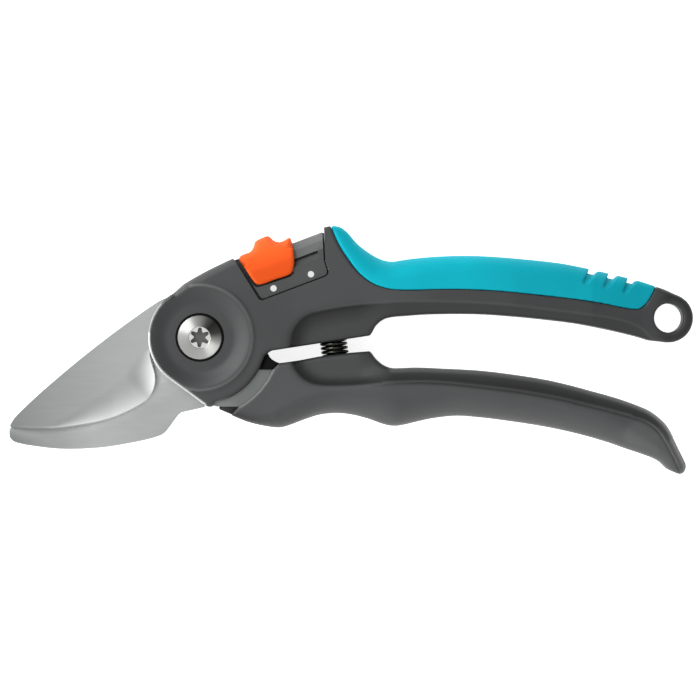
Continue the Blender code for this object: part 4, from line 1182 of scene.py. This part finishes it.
distance, rounding = edge_and_rounding(SLIDER_PLAN, block.x, block.y, slider_rounding)
over = np.maximum(0, across_lock(block.x, block.y) - 12.6)
height = np.abs(block.level) - (9.2 - 0.075 * over ** 2)[:, :, None]
slider = moulded("lock_slider_moulding", both(distance[:, :, None], height, rounding[:, :, None]), block)
shaped(slider, lock_bar("rail_room", mirrored([
    (8.1, INSERT_TOP + 0.3), (12.6, INSERT_TOP + 0.3), (12.6, 6.9), (15.2, 6.9), (18.0, 4.9)]), 5.0, 60.0))
shaped(slider, lock_bar("web", mirrored([(11.2, 2.4), (19.0, 2.4)]), 24.0, 34.0), "UNION")
shaped(slider, lock_bar("tab_room", [(9.0, 0.3), (9.0, 3.2), (15.3, 3.2), (15.3, 0.3)], 26.7, 31.3))
dress(slider, LOCK_PLASTIC, "lock_body", "orange_plastic", "lock_slider", crease=40)

# %% [markdown]
# ## Printed dots and the return spring
#
# What repeats or follows a path is left to Geometry Nodes. The two white dots that mark the lock's
# ends are one printed disc on two points. The spring is wire swept along a spiral. Each tree has named
# inputs, so a reader can change a size and see what happens.

# %% Geometry Nodes helpers
def node_tree(name, **inputs):
    """An empty tree with a geometry output and one named number input for each keyword."""
    tree = bpy.data.node_groups.new(name, "GeometryNodeTree")
    for key, value in inputs.items():
        kind = "NodeSocketInt" if isinstance(value, int) else "NodeSocketFloat"
        socket = tree.interface.new_socket(key.replace("_", " "), in_out="INPUT", socket_type=kind)
        socket.default_value = value
    tree.interface.new_socket("Geometry", in_out="OUTPUT", socket_type="NodeSocketGeometry")
    return tree, tree.nodes.new("NodeGroupInput").outputs


def grow(name, tree, last, material, **values):
    """Ends the tree in Realize Instances and Set Material, and turns its result into a plain mesh."""
    real = add(tree, "GeometryNodeRealizeInstances", None, Geometry=last)
    coated = add(tree, "GeometryNodeSetMaterial", {"Material": material}, Geometry=real.outputs[0])
    add(tree, "NodeGroupOutput", None, Geometry=coated.outputs[0])
    holder = bpy.data.objects.new(name, bpy.data.meshes.new(name))
    bpy.context.scene.collection.objects.link(holder)
    step = holder.modifiers.new("grow", "NODES")
    step.node_group = tree
    for socket in tree.interface.items_tree:
        key = socket.name.replace(" ", "_")
        if key in values:
            step[socket.identifier] = values[key]
    mesh = bpy.data.meshes.new_from_object(holder.evaluated_get(bpy.context.evaluated_depsgraph_get()))
    holder.modifiers.clear()
    holder.data = mesh
    return holder


# %% The printed dots
tree, inputs = node_tree("printed_dots", Radius=0.001, Thickness=0.00006, Spacing=0.0127)
disc = add(tree, "GeometryNodeMeshCylinder", {"Vertices": 40}, Radius=inputs["Radius"],
           Depth=inputs["Thickness"])
row = add(tree, "ShaderNodeCombineXYZ", None, X=inputs["Spacing"])
line = add(tree, "GeometryNodeMeshLine", {"mode": "OFFSET", "Count": 2}, Offset=row.outputs[0])
dots_on = add(tree, "GeometryNodeInstanceOnPoints", None, Points=line.outputs[0],
              Instance=disc.outputs["Mesh"])
DOT_FIRST, DOT_LAST = Vector((23.5, 15.6)), Vector((35.4, 20.1))
dots = grow("lock_dots", tree, dots_on.outputs[0], PRINT_WHITE, Spacing=(DOT_LAST - DOT_FIRST).length * MM)
tilt = math.atan2(*(DOT_LAST - DOT_FIRST).yx)
first_dot = Matrix.Translation(Vector((*DOT_FIRST, SHEAR + INSERT_TOP + 0.02)) * MM)
dots.data.transform(first_dot @ Matrix.Rotation(tilt, 4, "Z"))
dress(dots, PRINT_WHITE, "upper_body", "graphite_plastic")

# %% The return spring
tree, inputs = node_tree("return_spring", Turns=9.5, Coil_Radius=0.004, Wire_Radius=0.0005, Length=0.0125)
helix = add(tree, "GeometryNodeCurveSpiral", {"Resolution": 40}, Rotations=inputs["Turns"],
            Start_Radius=inputs["Coil Radius"], End_Radius=inputs["Coil Radius"], Height=inputs["Length"])
wire = add(tree, "GeometryNodeCurvePrimitiveCircle", {"Resolution": 14}, Radius=inputs["Wire Radius"])
swept = add(tree, "GeometryNodeCurveToMesh", {"Fill Caps": True}, Curve=helix.outputs[0],
            Profile_Curve=wire.outputs[0])
smooth = add(tree, "GeometryNodeSetShadeSmooth", None, Geometry=swept.outputs[0])
WIRE, COIL, PITCH, SEAT, PLAY = 0.48, 3.95, 1.3, 1.3, 0.6
spring_length = 2 * (SPRING_REACH - SEAT) - PLAY - 2 * WIRE
spring = grow("return_spring_coil", tree, smooth.outputs[0], SPRING_STEEL, Turns=spring_length / PITCH,
              Coil_Radius=COIL * MM, Wire_Radius=WIRE * MM, Length=spring_length * MM)
axis = Vector((math.cos(math.radians(SPRING_WAY)), math.sin(math.radians(SPRING_WAY)), 0))
spring_centre = Vector((*SPRING_MIDDLE, SHEAR))
stand = axis.to_track_quat("Z", "Y").to_matrix().to_4x4()
spring.data.transform(Matrix.Translation((spring_centre - axis * spring_length / 2) * MM) @ stand)
spring.data.set_sharp_from_angle(angle=math.radians(50))
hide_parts("return_spring")
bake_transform(spring)
report(spring)

# %% [markdown]
# ## The closing buffer
#
# A black rubber block fills the throat between the handles and softens the blow when they close. It
# hugs the cheek of the upper handle, so its side is an arc about the pivot.

# %% Buffer
buffer_plan = arc(BUFFER_RADIUS, -28.5, -14.4) + [(21.5, -5.2), (22.0, -6.3), (22.8, -7.1), (24.0, -7.8),
                                         (25.2, -8.25), (24.5, -8.75), (24.0, -9.5), (23.75, -10.28)]
closing_buffer = plate("closing_buffer_rubber", buffer_plan, -8.0, 6.4, edge=0.3)
peg = bar_across("peg", (23.0, -9.3), -22, 1.5, 6.0)
peg.data.transform(Matrix.Translation((0, 0, -5 * MM)))
shaped(closing_buffer, peg, "UNION")
dress(closing_buffer, BLACK_RUBBER, "lower_body", "black_rubber", "closing_buffer", crease=30)

# %% [markdown]
# ## Parts that stay as they are
#
# The pins, washers, spring seats, lock bolt and detent spring are small or hidden, and their solids
# already have the right shape. They only get their real finish.

# %% Finishes for the remaining parts
STAYING = {
    PLAIN_STEEL: ("hook_pin_1", "hook_pin_2", "blade_pin_1", "blade_pin_2", "lock_bolt"),
    SPRING_STEEL: ("lock_washer", "detent_spring"),
    HANDLE_PLASTIC: ("upper_spring_seat", "lower_spring_seat"),
    BLACK_RUBBER: ("blade_washer",),
}
for material, names in STAYING.items():
    for name in names:
        node = frame["nodes"][name]
        node.data.materials.clear()
        node.data.materials.append(material)
        print(name, "is", material.name)

# %% [markdown]
# ## Floor, light and camera
#
# The pruner lies on a pale, softly glowing table inside a light tent. The tent is the world: evenly
# bright near the table, and above that bright towards -X and -Y and dim on the opposite side, so that
# every rounded edge catches a light rim on one side. Two softboxes on the -X side add a soft highlight.
# The camera looks straight down from about a metre and a quarter with a long lens.

# %% Floor
floor = bpy.data.objects.new("table", bpy.data.meshes.new("table"))
bpy.context.scene.collection.objects.link(floor)
corners = [(x, y, CAD_LOW.z - 0.2 * MM) for x, y in ((-3, -3), (3, -3), (3, 3), (-3, 3))]
floor.data.from_pydata(corners, [], [(0, 1, 2, 3)])
table_top, _, table_shader = finish_named("pale_light_table", "#ffffff", 0.9)
table_shader.inputs["Emission Color"].default_value = (1.0, 1.0, 1.0, 1.0)
table_shader.inputs["Emission Strength"].default_value = 0.8
floor.data.materials.append(table_top)
floor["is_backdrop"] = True

# %% Light tent
scene = bpy.context.scene
scene.view_settings.view_transform = "Standard"
world = bpy.data.worlds.new("light_tent")
world.use_nodes = True
scene.world = world
sky = world.node_tree
way = add(sky, "ShaderNodeTexCoord").outputs["Generated"]
parts = add(sky, "ShaderNodeSeparateXYZ", None, Vector=way)
lean = add(sky, "ShaderNodeVectorMath", {"operation": "DOT_PRODUCT", 1: (-0.75, -0.65, 0.0)}, i0=way)
roof = add(sky, "ShaderNodeMapRange", {"From Min": -0.7, "From Max": 0.7, "To Min": 0.25, "To Max": 1.2},
           Value=lean.outputs["Value"])
low_wall = add(sky, "ShaderNodeMapRange", {"From Min": 0.1, "From Max": 0.35, "To Min": 1.0, "To Max": 0.0},
               Value=parts.outputs["Z"])
whole = add(sky, "ShaderNodeMix", {2: 1.0, 3: 1.15}, i0=low_wall.outputs[0], i2=roof.outputs[0])
glow = sky.nodes["Background"]
glow.inputs["Color"].default_value = (1.0, 1.0, 1.0, 1.0)
sky.links.new(whole.outputs[0], glow.inputs["Strength"])


def softbox(name, place, aim, size, power):
    """A rectangular lamp at a place, turned towards an aim."""
    lamp = bpy.data.lights.new(name, "AREA")
    lamp.shape, lamp.size, lamp.size_y = "RECTANGLE", size[0], size[1]
    lamp.energy = power
    made = bpy.data.objects.new(name, lamp)
    made.location = place
    made.rotation_euler = (Vector(aim) - Vector(place)).to_track_quat("-Z", "Y").to_euler()
    scene.collection.objects.link(made)
    return made


softbox("left_softbox", (-0.42, 0.34, 0.72), (0.0, 0.0, 0.0), (0.4, 0.3), 4.0)
softbox("left_strip", (-0.5, 0.05, 0.045), (0.0, 0.0, 0.01), (0.6, 0.06), 4.0)

# %% Camera
LENS, SENSOR = 200.0, 36.0  # millimetres
AIM, WIDTH = (0.04784, -0.00402), 0.224  # the middle and the width of the view, in metres
camera = bpy.data.objects.new("camera", bpy.data.cameras.new("camera"))
camera.data.lens, camera.data.sensor_width = LENS, SENSOR
camera.location = (*AIM, (SHEAR + 1.0) * MM + WIDTH * LENS / SENSOR)
camera.data.clip_start, camera.data.clip_end = 0.01, 10.0
scene.collection.objects.link(camera)
scene.camera = camera

# %% [markdown]
# ## Sizes, and the last line
#
# The dressed model should stay the size of the frame, so both boxes are printed.

# %% Write the sizes and finish
low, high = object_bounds()
for name, size in (("cad", CAD_HIGH - CAD_LOW), ("visual", high - low)):
    print(name, "box", [round(x / MM, 1) for x in size])
